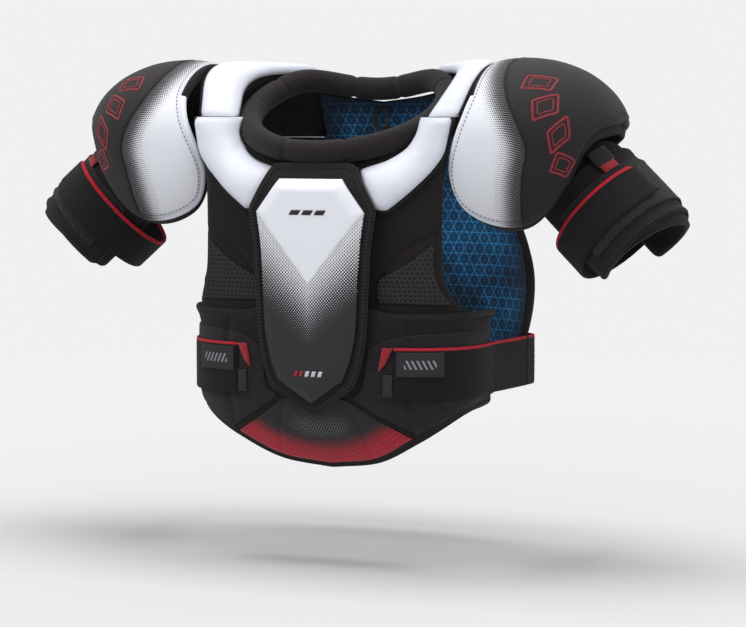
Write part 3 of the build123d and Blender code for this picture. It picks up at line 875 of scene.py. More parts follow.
def bound_tape(name, dark="1a1516", light="3d3435"):
    """A folded binding tape: fine ribs across it and a row of stitches sunk near its inner edge."""
    look, u, v = panel_look(name, sheen=0.06, sheen_rough=0.5, specular=0.3)
    ribs = u.wave(0.8)
    fuzz = look.noise(look.solid, 1.2, 2)
    share = (ribs * 0.16 + fuzz * 0.6).unit()
    height = ribs * 0.35 + fuzz * 0.5
    base = look.mix(share, dark, light)
    stitch = (u.mod(3.4) - 1.7).line(0.75, 0.35) * (look.attr("top") - 0.8).line(0.12, 0.1)
    base = look.mix(stitch, base, "060505")
    height = height - stitch * 1.4
    return look.finish(base, 0.82, height, 0.18)


black_knit = knit("black_knit", "110d0e", "2e2627", 0.05)
black_smooth = knit("black_smooth_knit", "120e0f", "2a2324", 0.06, 0.8, 0.7, 0.1, 0.8, 0.35)
collar_cloth = knit("collar_cloth", "120e0f", "302829", 0.08, 1.0, 0.8, 0.12, 0.85, 0.4)
white_cloth = white_synthetic("white_synthetic")
tape = bound_tape("binding_tape")
black_thread = Look("black_thread", sheen=0.2)
black_thread.uv()
black_thread.place()
_twist = black_thread.noise(black_thread.solid, 3.0, 1)
black_thread = black_thread.finish(black_thread.mix(_twist, "0c0a0a", "262020"), 0.7, _twist, 0.1)


def lattice_liner():
    """Blue printed lining: a lattice of triangles on near-black cloth, fading out in patches."""
    look, u, v = panel_look("blue_lattice_lining", sheen=0.15, specular=0.3)
    pitch = 11.0
    lines, fine = None, None
    for turn in (0, 60, 120):
        c, s = math.cos(math.radians(turn)), math.sin(math.radians(turn))
        across = v * c - u * s
        wide = (across.mod(pitch) - pitch / 2).line(0.42, 0.3)
        thin = ((across + pitch / 4).mod(pitch / 2) - pitch / 4).line(0.18, 0.22)
        lines = wide if lines is None else lines.high(wide)
        fine = thin if fine is None else fine.high(thin)
    glow = look.noise(look.flat, 0.016, 2).step(0.34, 0.66)
    fade = look.attr("edge").abs().step(2.0, 34.0) * 0.75 + 0.25
    share = (lines * 0.95).high(fine * 0.5) * (glow * 0.75 + 0.25) * fade
    ground = look.mix(glow * fade, "070a12", "0d3f69")
    cloth = u.wave(0.9) * v.wave(0.9)
    return look.finish(look.mix(share, ground, "3aa0e2"), 0.62, cloth * 0.4 + share * 0.5, 0.12)


def perforated(name, dark="161414", light="353130", pitch=5.0, hole=1.2):
    """Ventilated foam faced with cloth: rows of punched holes with rolled rims."""
    look, u, v = panel_look(name, specular=0.35)
    holes = look.dots(u, v, pitch, pitch * 0.87, hole, 0.22)
    rims = look.dots(u, v, pitch, pitch * 0.87, hole + 0.75, 0.5)
    grain = look.noise(look.solid, 0.9, 3)
    cloud = look.noise(look.solid, 0.04, 2)
    base = look.mix((grain * 0.5 + cloud * 0.4 + (rims - holes) * 0.35).low(1.0), dark, light)
    # The holes are painted near-black: the dark layer beneath them, deepened by painted shade down inside each
    # hole.
    base = look.mix(holes, base, "030303")
    return look.finish(base, 0.7, grain * 0.25 - holes * 1.6 - rims * 0.5, 0.5)


def sternum_look():
    """Moulded white plate: a dark dot print grows down from the lower facet until it is solid."""
    look, u, v = panel_look("sternum_print", coat=0.12, coat_rough=0.3, specular=0.4)
    across = u.abs()
    point = v + 199.0 - across * 1.27
    inside_v = point.step(-0.5, 0.8)
    low = -266.0 + across * 0.8
    grow = ((v - low) / (78.0 + across * 0.2)).unit()
    pale = look.dots(u, v, 3.1, 1.65, grow * 1.5 - 0.08, 0.22)
    printed = look.mix(pale, "26272a", "f1f2f6")
    lines = ((point + 3.2).line(0.22, 0.25)).high((point + 6.0).line(0.18, 0.25)) * across.step(14.0, 24.0)
    base = look.mix(inside_v, printed, "f5f6fc")
    base = look.mix(lines * 0.55 * (1.0 - inside_v), base, "8d9096")
    grain = look.noise(look.solid, 1.1, 3)
    scuffs = look.noise(look.solid, 0.22, 5, 0.7).step(0.62, 0.8)
    base = look.mix(scuffs * 0.12, base, "77787c")
    return look.finish(base, grain * 0.15 + 0.36 + scuffs * 0.15,
        grain * 0.35 + look.noise(look.solid, 0.1, 1) * 1.5, 0.08)


def cap_look():
    """Shoulder cap cloth: white near the neck, through a dot print, to black over the point of the shoulder."""
    look, u, v = panel_look("cap_print", sheen=0.1, specular=0.3)
    past = look.attr("fade")
    share = past.step(-33.0, -3.0)
    across = look.dots(u, v, 2.4, 2.1, share * 1.5 - 0.1, 0.3)
    dark = across.high(past.step(-3.5, -1.5))
    weave = u.wave(0.75) * v.wave(0.75)
    cloud, fuzz = look.noise(look.solid, 0.03, 4), look.noise(look.solid, 1.3, 2)
    edge = look.attr("edge")
    # The pale cloth is mixed towards a grey-blue within 9 mm of its edge: painted shade along the rounded edge.
    pale = look.mix((edge.step(9.0, 0.0) * 0.45 + (cloud - 0.5) * 0.3).unit(), "f5f6fc", "cbcfde")
    black = look.mix((fuzz * 0.6 + (cloud - 0.5) * 0.5 + weave * 0.12).unit(), "151011", "332a2b")
    return look.finish(look.mix(dark, pale, black), cloud * 0.15 + 0.58, weave * 0.4 + fuzz * 0.4, 0.12)


def belly_look():
    """Belly print: white and red dots on charcoal that grow to solid red at the hem."""
    look, u, v = panel_look("belly_print", sheen=0.1, specular=0.35)
    hem = v + 383.0 - u * u * 0.0034
    red_dots = look.dots(u, v, 3.3, 2.0, hem.step(40.0, 5.0) * 1.72 - 0.16, 0.22)
    white_share = (hem - 40.0).line(2.0, 22.0) * u.abs().step(60.0, 20.0)
    white_dots = look.dots(u, v, 3.3, 2.0, white_share * 0.5 - 0.1, 0.2)
    grain = look.noise(look.solid, 0.8, 3)
    ground = look.mix(grain, "101012", "222225")
    base = look.mix(white_dots, ground, "bcbcc2")
    base = look.mix(red_dots, base, look.mix(grain, "b01226", "d01c34"))
    rows = (hem.mod(5.5) - 2.75).line(0.25, 0.3) * hem.step(24.0, 12.0)
    base = look.mix(rows * 0.5, base, "4a0810")
    return look.finish(base, 0.55, grain * 0.5, 0.15)


def pile(name="loop_pile", dark="070506", light="3a3335"):
    """Brushed loop tape: a mat of tiny curls."""
    look = Look(name, sheen=0.1, sheen_rough=0.6, specular=0.2)
    look.uv()
    look.place()
    curls = look.cells(look.solid, 0.95)
    fuzz = look.noise(look.solid, 0.5, 4, 0.7)
    share = (curls * 0.7 + (fuzz - 0.5) * 1.2).unit()
    return look.finish(look.mix(share, dark, light), 0.95, curls * 1.2 + fuzz, 0.5)


def elastic(name, edge_at, edge_sign=1.0, dark="0a090a", light="221f20"):
    """Wide ribbed elastic, ribs along its length, with a woven red edge."""
    look, u, v = panel_look(name, sheen=0.05, sheen_rough=0.5, specular=0.25)
    ribs = v.wave(1.9)
    picks = u.wave(0.9)
    fuzz = look.noise(look.solid, 1.1, 2)
    base = look.mix((ribs * 0.22 + picks * 0.08 + fuzz * 0.55).unit(), dark, light)
    red = ((v - edge_at) * edge_sign).step(-0.3, 0.3)
    base = look.mix(red, base, look.mix(fuzz + picks * 0.2, "8e0c1c", "e02a3e"))
    return look.finish(base, 0.78, ribs * 0.6 + picks * 0.25 + fuzz * 0.3, 0.3)


def webbing(name, dark, light, rib=1.6, sheen=0.25):
    look, u, v = panel_look(name, sheen=sheen, sheen_rough=0.5, specular=0.3)
    weave = u.wave(rib) * v.wave(rib * 0.7)
    fuzz = look.noise(look.solid, 1.2, 2)
    return look.finish(look.mix((weave * 0.3 + fuzz * 0.6).unit(), dark, light), 0.75,
        weave + fuzz * 0.3, 0.22)


def hook_tape():
    """Stiff hook tape: close rows of tiny points."""
    look, u, v = panel_look("hook_tape", specular=0.5)
    points = look.dots(u, v, 1.5, 1.1, 0.42, 0.2)
    return look.finish(look.mix(points, "08080a", "3a3a40"), 0.5, points, 0.6)


def plain_label():
    """A woven label with a plain band and slanting bars."""
    look, u, v = panel_look("woven_label", specular=0.35)
    weave = u.wave(0.7) * v.wave(0.7)
    edge = look.attr("edge")
    slant = ((u + v * 0.5).mod(5.0) - 2.5).line(0.9, 0.25) * edge.step(7.4, 8.0)
    base = look.mix(weave * 0.15 + 0.3, "1b1b1e", "3c3c41")
    base = look.mix(slant * 0.7, base, "a9aab0")
    return look.finish(base, 0.6, weave * 0.5 + slant * 0.6, 0.15)


def moulded(name, dark="121214", light="222226", rough=0.42):
    look = Look(name, specular=0.5, coat=0.08, coat_rough=0.4)
    look.place()
    grain, scuff = look.noise(look.solid, 1.6, 2), look.noise(look.solid, 0.2, 5, 0.7).step(0.6, 0.8)
    return look.finish(look.mix(scuff * 0.35 + grain * 0.2, dark, light), grain * 0.12 + rough, grain, 0.06)


liner_cloth = lattice_liner()
vent_foam = perforated("vent_foam")
back_vent = perforated("back_vent_foam", "161416", "35312f", 7.0, 1.6)
sternum_print, cap_print, belly_cloth = sternum_look(), cap_look(), belly_look()
loop_cloth, hook_cloth, label_cloth = pile(), hook_tape(), plain_label()
arm_elastic = elastic("arm_elastic", 7.6, -1.0)
belly_elastic = elastic("belly_elastic", -262.6)
red_web = webbing("red_webbing", "8c0c1b", "dc2a3c", 1.4)
black_web = webbing("black_webbing", "0d0c0e", "2a282b")
red_outline = webbing("red_outline", "9c1022", "dd2b40", 0.8)


def sew(name, pad, line, body, *style):
    """A row of black stitches on both sides of the object."""
    return both(stitch_line(name, pad, line, black_thread, *style), body, (), "black_binding")


# ---------------------------------------------------------------------------------------------- outlines
def chain(*runs, step=4.0):
    """An open line of runs: three points or more make a smooth run, and corners lie between runs."""
    out = []
    for run in runs:
        piece = curve(run, step) if len(run) > 2 else even(run, step)
        if out and np.linalg.norm(out[-1][-1] - piece[0]) > 0.5:
            out.append(even([out[-1][-1], piece[0]], step)[1:-1])
        elif out:
            piece = piece[1:]
        out.append(piece)
    return np.vstack(out)


def closed(*runs, step=4.0):
    line = chain(*runs, step=step)
    back_to_start = even([line[-1], line[0]], step)
    return np.vstack([line, back_to_start[1:-1]]) if np.linalg.norm(line[-1] - line[0]) > 0.5 else line[:-1]


def on_front(line):
    line = np.array(line, float)
    return np.stack([along_at(line[:, 0] / waist(line[:, 1]), FRONT_TABLE), line[:, 1]], 1)


def on_back(line):
    line = np.array(line, float)
    return np.stack([along_at(line[:, 0], BACK_TABLE), line[:, 1]], 1)


def grown(loop, amount):
    tangent = np.roll(loop, -1, 0) - np.roll(loop, 1, 0)
    normal = np.stack([tangent[:, 1], -tangent[:, 0]], 1)
    normal /= np.maximum(np.linalg.norm(normal, axis=1), 1e-9)[:, None]
    area = np.sum(loop[:, 0] * np.roll(loop[:, 1], -1) - np.roll(loop[:, 0], -1) * loop[:, 1])
    return loop + normal * np.sign(area) * np.asarray(amount)[:, None]


def at_height(level, tolerance=1.5):
    return lambda p: np.abs(p[:, 1] - level) < tolerance


# ---------------------------------------------------------------------------------------------- chest
CHEST_SIDE = [(128, -75), (123, -110), (123, -185), (130, -210), (141, -226),
    (156, -238)]  # from below the shoulder seam to behind the belly pad
chest_half = chain(
    [(0, -88), (52, -82), (76, -74.5), (96, -63), (108, -51), (112, -40.3)],
    [(132, -40.3), *CHEST_SIDE],
    [(156, -238), (160, -262)], [(160, -262), (0, -262)],
)
chest_loop = mirrored(on_front(chest_half))
side_seam = on_front(curve([(124, -150), (104, -158), (84, -172), (66, -192)], 3))
other_seam = side_seam * [-1, 1]
chest = Pad(front, chest_loop, 1.8, 11.0, edge=0.55, round_over=7, crown=0.06, seams=[side_seam, other_seam],
            seam_depth=0.3, wrinkles=0.5, scale=30, flush=at_height(-40.3))
keep(chest.build("chest_pad", black_knit, 5.0), "torso", "chest_foam", "black_knit", 0.7)
chest_edge = chain(
    [(132, -42), *CHEST_SIDE], [(156, -238), (160, -260)]
)
both(binding("left_chest_binding", chest, tape, 2.6, 0.5, line=on_front(chest_edge)), "torso", (), "black_binding")
neck_edge = on_front(chain([(0, -88), (52, -82), (76, -74.5), (96, -63), (108, -51), (112, -42)]))
neck_edge = np.vstack([(neck_edge * [-1, 1])[::-1], neck_edge[1:]])
keep(binding("chest_neck_binding", chest, tape, 2.6, 0.5, line=neck_edge), "torso", (), "black_binding")

lining_loop = inset_line(chest_loop, 1.2)
chest_lining = Pad(front, lining_loop, 0.0, 1.5, edge=0.9, crown=0.0, wrinkles=0.12, scale=40)
lining(keep(chest_lining.build("chest_lining", liner_cloth, 6.0), "torso", "chest_liner", "blue_liner"))

vent_loop = on_front(closed([(62, -196), (92, -180), (118, -160)],
    [(118, -160), (118, -186), (124, -206), (134, -220)],
                            [(134, -220), (62, -218)]))
vent = Pad(front, vent_loop, 11.3, 13.5, edge=0.5, round_over=5, crown=0.1, wrinkles=0.1, under=chest)
both(vent.build("left_vent_panel_cloth", vent_foam, 4.0), "torso", "left_vent_panel", "grey_foam", 0.5)
sew("left_vent_stitches", vent, inset_line(vent_loop, 2.4), "torso", True)

clavicle_loop = on_front(closed(
    [(94, -40.3), (134, -40.3)], [(134, -40.3), (130, -60), (126, -76), (115, -92)],
        [(115, -92), (96, -111), (74, -129)],
    [(74, -129), (66, -129.5), (58, -126)], [(58, -126), (50, -109), (44, -91)],
    [(44, -91), (50, -88), (70, -81), (85, -70), (93, -56), (94, -40.3)]))
clavicle = Pad(front, clavicle_loop, 11.3, 24.0, edge=0.3, round_over=10, crown=0.16, wrinkles=0.5, scale=34,
               flush=at_height(-40.3), under=chest)
both(inflate(clavicle.build("left_clavicle_pad_cloth", white_cloth, 4.0)), "torso", "left_clavicle_pad",
    "white_fabric", 0.8)
clavicle_edge = on_front(chain([(134, -41), (130, -60), (126, -76), (115, -92)],
    [(115, -92), (96, -111), (74, -129)],
                               [(74, -129), (66, -129.5), (58, -126)], [(58, -126), (50, -109), (44, -91)]))
both(binding("left_clavicle_binding", clavicle, tape, 3.0, 0.3, line=clavicle_edge), "torso", (), "black_binding")

# ---------------------------------------------------------------------------------------------- sternum guard
sternum_foam_loop = mirrored(on_front(chain([(0, -88.5), (42, -88)], [(42, -88), (56, -128), (52, -215)],
    [(52, -215), (0, -221)])))
sternum_pad = Pad(front, sternum_foam_loop, 11.3, 24.0, edge=0.8, round_over=6, crown=0.04, wrinkles=0.2)
keep(sternum_pad.build("sternum_pad", black_smooth, 5.0), "torso", "sternum_foam", "black_knit", 0.7)

base_half = chain([(0, -88), (40, -88)], [(40, -88), (62, -129)],
    [(62, -129), (57, -160), (55, -190), (52, -246), (47, -278)],
                  [(47, -278), (40, -298)], [(40, -298), (0, -325)])
base_loop = mirrored(on_front(base_half))
guard_base = Pad(front, base_loop, 24.3, 27.3, edge=0.8, round_over=4, crown=0.0, wrinkles=0.1)
keep(guard_base.build("sternum_guard_base", black_smooth, 5.0), "sternum", "sternum_base", "black_knit")
base_ring = binding("sternum_guard_binding", guard_base, tape, 4.0, 1.5, times=2)
keep(base_ring, "sternum", (), "black_binding")

plate_half = chain([(0, -99), (32, -99)], [(32, -99), (55, -131)],
    [(55, -131), (51, -160), (49, -190), (46, -246), (40, -276)],
                   [(40, -276), (33, -293)], [(33, -293), (0, -316)], step=3.0)
plate_loop = mirrored(on_front(plate_half))


def plate_relief(flat, dist, full):
    """A bevelled rim, a raised upper shield that ends in a point, and a keel below it."""
    across = np.abs(flat[:, 0])
    point = flat[:, 1] + 199.0 - 1.27 * across
    keel = np.clip(1 - across / 46.0, 0, 1)
    rim = np.clip(dist / 9.0, 0, 1)
    shield = np.clip((point + 1.6) / 3.2, 0, 1)
    upper = 0.10 * np.clip(1 - across / 40.0, 0, 1) + 0.05 * np.clip((flat[:, 1] + 199) / 100.0, 0, 1)
    lower = 0.16 * keel
    cheek = 0.05 * np.clip((across - 30) / 12, 0, 1)
    return full * (0.34 + 0.38 * rim + rim * (shield * (0.12 + upper) + (1 - shield) * lower - cheek))


plate = Pad(front, plate_loop, 27.6, 36.0, wrinkles=0.0, relief=plate_relief)
plate_obj = plate.build("sternum_guard_plate", sternum_print, 3.0)
keep(plate_obj, "sternum", "sternum_plate", "white_plastic")


def bar(name, pad, centre, length, height, slant, material, lean=0.0, thick=0.45):
    """A flat slanting bar, with rounded rim, lying on a pad."""
    across, up = np.array([math.cos(lean), math.sin(lean)]), np.array([-math.sin(lean), math.cos(lean)])
    corners = []
    for i, j in ((-1, -1), (1, -1), (1, 1), (-1, 1)):
        corners.append(np.array(centre) + across * (i * length / 2 + j * slant / 2) + up * j * height / 2)
    loop = closed([corners[0], corners[1]], [corners[1], corners[2]], [corners[2], corners[3]],
        [corners[3], corners[0]], step=1.5)
    low = Pad(pad.surface, loop, 0.0, thick, edge=0.7, round_over=1.2, crown=0.0, wrinkles=0.0, under=pad)
    return low.build(name, material, 1.8)


mark_black = moulded("printed_black", "101012", "26262a", 0.45)
mark_red = moulded("printed_red", "a50f20", "d8263a", 0.45)
mark_white = moulded("printed_white", "c9cacf", "f2f2f5", 0.45)
for k, x in enumerate((-13.0, 0.0, 13.0)):
    keep(bar(f"sternum_mark_{k}", plate, (x, -131.0), 9.5, 4.6, 3.0, mark_black), "sternum", (), "black_plastic")
for k, x in enumerate((-15.0, -8.5)):
    keep(bar(f"sternum_red_mark_{k}", plate, (x, -286.5), 3.4, 5.4, 2.0, mark_red), "sternum", (), "red_tab")
for k, x in enumerate((-1.0, 7.0, 15.0)):
    keep(bar(f"sternum_white_mark_{k}", plate, (x, -286.5), 4.6, 5.4, 2.0, mark_white), "sternum", (),
        "white_plastic")

# ---------------------------------------------------------------------------------------------- belly
belly_half = chain([(0, -226), (55, -226)], [(55, -226), (75, -231), (110, -231), (150, -230)],
                   [(150, -230), (170, -234), (181, -244), (185, -260)], [(185, -260), (185, -300)],
                   [(185, -300), (172, -312), (148, -316), (118, -338), (93, -354), (50, -376), (0, -383)])
belly_loop_line = mirrored(on_front(belly_half))
band_seam = [on_front(curve([(s * 92, -236), (s * 93, -262), (s * 92, -290), (s * 92, -318), (s * 92, -350)],
    3)) for s in (1, -1)]
belly = Pad(front, belly_loop_line, 11.3, 19.0, edge=0.55, round_over=8, crown=0.1, wrinkles=0.4, scale=32,
            seams=band_seam, seam_depth=0.3)
keep(belly.build("belly_pad_cloth", black_knit, 5.0), "torso", "belly_pad", "black_knit", 0.7)
keep(binding("belly_binding", belly, tape, 3.0, 0.6), "torso", (), "black_binding")
pile_loop = on_front(closed([(56, -262), (76, -252), (100, -248)], [(100, -248), (140, -246), (168, -250)],
                            [(168, -250), (179, -264), (179, -298)],
                                [(179, -298), (166, -308), (147, -312), (118, -333), (96, -346)],
                            [(96, -346), (66, -328), (38, -310)], [(38, -310), (50, -300), (53, -280), (56, -262)]))
pile_pad = Pad(front, pile_loop, 19.3, 20.8, edge=0.6, round_over=3, crown=0.1, wrinkles=0.15, under=belly)
both(pile_pad.build("left_belly_pile", loop_cloth, 5.0), "torso", "left_belly_loop", "loop_pile")
print_half = chain([(0, -305), (34, -313.5)], [(34, -313.5), (62, -333), (90, -351)],
    [(90, -351), (50, -373), (0, -381)])
print_loop = mirrored(on_front(print_half))
print_seams = [on_front(curve([(s * 32, -314), (s * 38, -330), (s * 44, -350), (s * 47, -376)], 3)) for s in (1,
    -1)]
print_pad = Pad(front, print_loop, 19.3, 20.8, edge=0.6, round_over=3, crown=0.1, wrinkles=0.25, scale=24,
    under=belly,
                seams=print_seams, seam_depth=0.7, seam_width=1.6)
keep(print_pad.build("belly_print_cloth", belly_cloth, 4.0), "torso", "belly_print", "red_print")
for s, side_name in ((1, "left"), (-1, "right")):
    line = on_front(curve([(s * 34, -314), (s * 62, -333), (s * 89, -351)], 3))
    keep(stitch_line(f"{side_name}_belly_print_stitches", print_pad, line + [s * -1.8, -1.2], black_thread),
        "torso", (), "black_binding")

# ---------------------------------------------------------------------------------------------- shoulder arch
def ellipse_run(width, reach, start, end, count=12):
    out = []
    for k in range(count):
        a = math.radians(start + (end - start) * k / (count - 1))
        out.append(arch_flat(width * math.sin(a), -reach * math.cos(a)))
    return out


def arch_loop(width, reach, first, inset=0.0):
    outer = [arch_flat(x, y) for x, y in ((145, -25), (148, 20), (146, 70), (140, 110))]
    outer = [(x - inset, t) for x, t in outer]
    neck_run = ellipse_run(width, reach, first, 141.5)
    neck_run[0] = (neck_run[0][0], 0.0)
    return closed([(neck_run[0][0], 0.0), (136.0 - inset, 0.0)],
        [(136.0 - inset, 0.0), *outer, (138.5 - inset, ARCH_RUN)],
                  [(138.5 - inset, ARCH_RUN), (70.2, ARCH_RUN)], [(70.2, ARCH_RUN), neck_run[-1]], neck_run[::-1])


def arch_ends(p):
    return (p[:, 1] < 1.5) | (p[:, 1] > ARCH_RUN - 1.5) | ((p[:, 0] < 71.0) & (p[:, 1] > 120))


arch_pad = Pad(arch, arch_loop(113, 97, 67.6), 0.0, 11.0, edge=0.6, round_over=7, crown=0.05, wrinkles=0.3,
    flush=arch_ends)
both(arch_pad.build("left_arch_pad", black_smooth, 6.0), "torso", "left_arch_foam", "black_knit", 0.7)
top_loop = arch_loop(109.5, 95.5, 66.5, 1.0)
arch_seam = curve([(104, 118), (122, 121), (147, 124)], 3)
clavicle_top = Pad(arch, top_loop, 11.3, 24.0, edge=0.4, round_over=10, crown=0.12, wrinkles=0.5, scale=36,
                   flush=arch_ends, seams=[arch_seam], seam_depth=0.25)
both(inflate(clavicle_top.build("left_clavicle_top_cloth", white_cloth, 5.0), 2.2, seams=[arch_seam]), "torso",
    "left_clavicle_top", "white_fabric", 0.8)
outer_edge = [arch_flat(x, y) for x, y in ((145, -25), (148, 20), (146, 70), (140, 110))]
outer_edge = curve([(135.0, 1.0), *[(x - 1.0, t) for x, t in outer_edge], (137.5, ARCH_RUN - 1)], 3)
both(binding("left_clavicle_top_binding", clavicle_top, tape, 3.0, 0.3, line=outer_edge), "torso", (),
    "black_binding")

# ---------------------------------------------------------------------------------------------- collar
COLLAR_SEAMS = (-166, -117, -17, 17, 117, 166, 194, 243)


def collar_point(turn):
    y = -84.0 * np.cos(np.radians(turn))
    return np.stack([100.0 * np.sin(np.radians(turn)), y, -32.0 + 0.5 * y - 22.0 * ramp(y, 50, 84) ** 2], -1)


def collar_half(name, start, end, nodes):
    turns = np.linspace(start, end, 110)
    points = collar_point(turns)
    out = np.stack([points[:, 0] / 100**2, points[:, 1] / 84**2, np.zeros(len(turns))], 1)
    pinch = np.ones(len(turns))
    for at in COLLAR_SEAMS:
        pinch -= 0.14 * np.exp(-(((turns - at) / 1.5) ** 2))
    body = 0.985 + 0.012 * np.sin(np.radians(turns * 5))
    piece = sweep(name, points, out, 11.8, 11.8, collar_cloth, False, 28, pinch * body, 2.15)
    return keep(piece, "torso", nodes, "collar_fabric", 0.8)


collar_half("collar_front_roll", -90, 90, "collar_front")
collar_half("collar_back_roll", 90, 270, "collar_back")

# ---------------------------------------------------------------------------------------------- back
BACK_EDGE = [(119, -100), (127, -128), (152, -155), (171, -200), (165, -248), (138, -298), (112, -324),
             (70, -338), (0, -342)]  # the back pad's edge, from under the arm to the middle of its hem
back_half = chain([(0, -25), (40, -20), (69.7, -14)], [(69.7, -14), (69.7, -62.3)], [(69.7, -62.3), (116, -62.3)],
                  [(116, -62.3), *BACK_EDGE])
back_loop = mirrored(on_back(back_half))


def back_joined(p):
    return (np.abs(p[:, 1] + 62.3) < 1.5) | ((np.abs(np.abs(p[:, 0]) - bs(69.7)) < 1.5) & (p[:, 1] > -63))


back_seams = [on_back(curve([(s * 128, -128), (s * 120, -180), (s * 121, -240), (s * 114, -318)], 3)) for s in (1,
    -1)]
back_pad = Pad(back, back_loop, 1.8, 11.0, edge=0.55, round_over=7, crown=0.06, wrinkles=0.5, scale=34,
    flush=back_joined,
               seams=back_seams, seam_depth=0.35)
keep(back_pad.build("back_pad_cloth", black_knit, 6.0), "torso", "back_foam", "black_knit", 0.7)
back_edge = on_back(chain([(116, -64), *BACK_EDGE]))
back_edge = np.vstack([back_edge, (back_edge * [-1, 1])[::-1][1:]])
keep(binding("back_binding", back_pad, tape, 3.0, 0.6, line=back_edge), "torso", (), "black_binding")
back_lining = Pad(back, inset_line(back_loop, 1.2), 0.0, 1.5, edge=0.9, crown=0.0, wrinkles=0.15, scale=40)
lining(keep(back_lining.build("back_lining", liner_cloth, 7.0), "torso", "back_liner", "blue_liner"))

spine_loop = mirrored(on_back(chain([(0, -45), (30, -52)],
    [(30, -52), (34, -85), (34, -120), (28, -200), (22, -232)], [(22, -232), (0, -240)])))
spine_seams = [on_back(curve([(-26, z), (0, z - 4), (26, z)], 3)) for z in (-82, -114, -146, -178, -210)]
spine = Pad(back, spine_loop, 11.3, 17.0, edge=0.35, round_over=8, crown=0.15, wrinkles=0.2, seams=spine_seams,
    under=back_pad)
keep(inflate(spine.build("spine_pad", back_vent, 4.0), 1.8, seams=spine_seams), "torso", "spine_plate",
    "black_plastic", 0.7)
keep(binding("spine_binding", spine, tape, 2.6, 0.4), "torso", (), "black_binding")
scapula_loop = on_back(closed([(38, -66), (106, -68)], [(106, -68), (110, -105), (112, -135)],
    [(112, -135), (98, -172)],
                              [(98, -172), (80, -188), (58, -192)], [(58, -192), (36, -180)],
                                  [(36, -180), (39, -120), (38, -66)]))
scapula_seams = [on_back(curve([(42, -92), (72, -96), (106, -90)], 3)),
    on_back(curve([(40, -150), (70, -150), (108, -140)], 3))]
scapula = Pad(back, scapula_loop, 11.3, 17.0, edge=0.35, round_over=8, crown=0.2, wrinkles=0.3,
    seams=scapula_seams, under=back_pad)
both(inflate(scapula.build("left_scapula_pad_cloth", back_vent, 4.5), 2.2, seams=scapula_seams), "torso",
    "left_scapula_pad", "grey_foam", 0.7)
both(binding("left_scapula_binding", scapula, tape, 2.6, 0.4), "torso", (), "black_binding")
lower_loop = mirrored(on_back(chain([(0, -246), (26, -240), (60, -206), (100, -196)],
    [(100, -196), (112, -240), (98, -296)],
                                    [(98, -296), (60, -322), (0, -328)])))
lower_seams = [on_back(curve([(-102, z + 14), (-50, z + 3), (0, z), (50, z + 3), (102, z + 14)],
    3)) for z in (-272, -300)]
lower = Pad(back, lower_loop, 11.3, 17.0, edge=0.35, round_over=8, crown=0.2, wrinkles=0.3, seams=lower_seams,
    under=back_pad)
keep(inflate(lower.build("lower_back_pad_cloth", back_vent, 5.0), 2.2, seams=lower_seams), "torso",
    "lower_back_pad", "grey_foam", 0.7)
keep(binding("lower_back_binding", lower, tape, 2.6, 0.4), "torso", (), "black_binding")

# ---------------------------------------------------------------------------------------------- hanging loop
ring = []
for k in range(48):
    a = 2 * math.pi * k / 48
    c, s = math.cos(a), math.sin(a)
    ring.append((7.4 * np.sign(c) * abs(c) ** 0.5, 93.7, -41.5 + 10.9 * np.sign(s) * abs(s) ** 0.5))
keep(sweep("hang_loop_web", ring, np.tile([0.0, 1.0, 0.0], (48, 1)), 2.4, 0.75, black_web, True, 12, None, 4.0),
     "hang_loop", "hang_loop", "black_webbing")

# ---------------------------------------------------------------------------------------------- shoulder caps
SEAM_PLAN = np.array([(200, -150), (206, -100), (211, -72), (204, -50), (188, -20), (177, 10), (176, 40)], float)
FRONT_LOBE = [(152, -20), (146, -42), (134, -75), (131, -98), (140, -124), (165, -139), (195, -142), (218, -130),
              (241, -98), (257, -62), (270, -46), (290, -38)]
BACK_LOBE = [(152, -20), (151, -50), (154, -78), (168, -98), (193, -105), (222, -92), (248, -62), (290, -38)]


def seam_x(z):
    fine = curve(SEAM_PLAN, 2)
    return np.interp(z, fine[:, 1], fine[:, 0])


def past_seam(flat):
    """How far a point of the cap lies beyond the seam between its white and its black cloth."""
    at = cap(flat, np.full(len(flat), 10.0))
    return (at[:, 0] - seam_x(at[:, 2])) * 0.85


def cap_hinge(count=30):
    """The cap's edge along the hinge, from back to front."""
    out = []
    for dy in np.linspace(79.0, -79.0, count):
        r = math.hypot(-30.0, dy)
        reach = float(np.interp(r, dome(CAP_TURNS[:220], 10.0)[0], CAP_ALONG[:220]))
        way = math.atan2(dy, -30.0)
        out.append((reach * math.cos(way), reach * math.sin(way)))
    return np.array(out)


def lobe(points, side, step=3.5):
    fine = curve(points, 2.0)
    return even(np.array([cap_flat(x, z, side) for x, z in fine]), step)


front_lobe, back_lobe = lobe(FRONT_LOBE, -1), lobe(BACK_LOBE, 1)
cap_loop = np.vstack([even(cap_hinge(), 3.5)[:-1], front_lobe[:-1], back_lobe[::-1][:-1]])
_at = cap(cap_loop, np.full(len(cap_loop), 10.0))
_free = np.where(_at[:, 1] < 15, smooth((-75 - _at[:, 2]) / 20), smooth((-60 - _at[:, 2]) / 22))
_free = np.maximum(_free, smooth((_at[:, 0] - 185) / 30))
flange = soften(grown(soften(cap_loop, 2), 11.0 * _free), 2)
cap_under = Pad(cap, flange, 0.0, 5.5, edge=0.75, round_over=4, crown=0.0, wrinkles=0.2)
both(cap_under.build("left_cap_pad_cloth", black_smooth, 6.0), "left_cap", "left_cap_pad", "black_knit", 0.7)
both(binding("left_cap_flange", cap_under, tape, 4.2, 0.2, times=5), "left_cap", (), "black_binding")

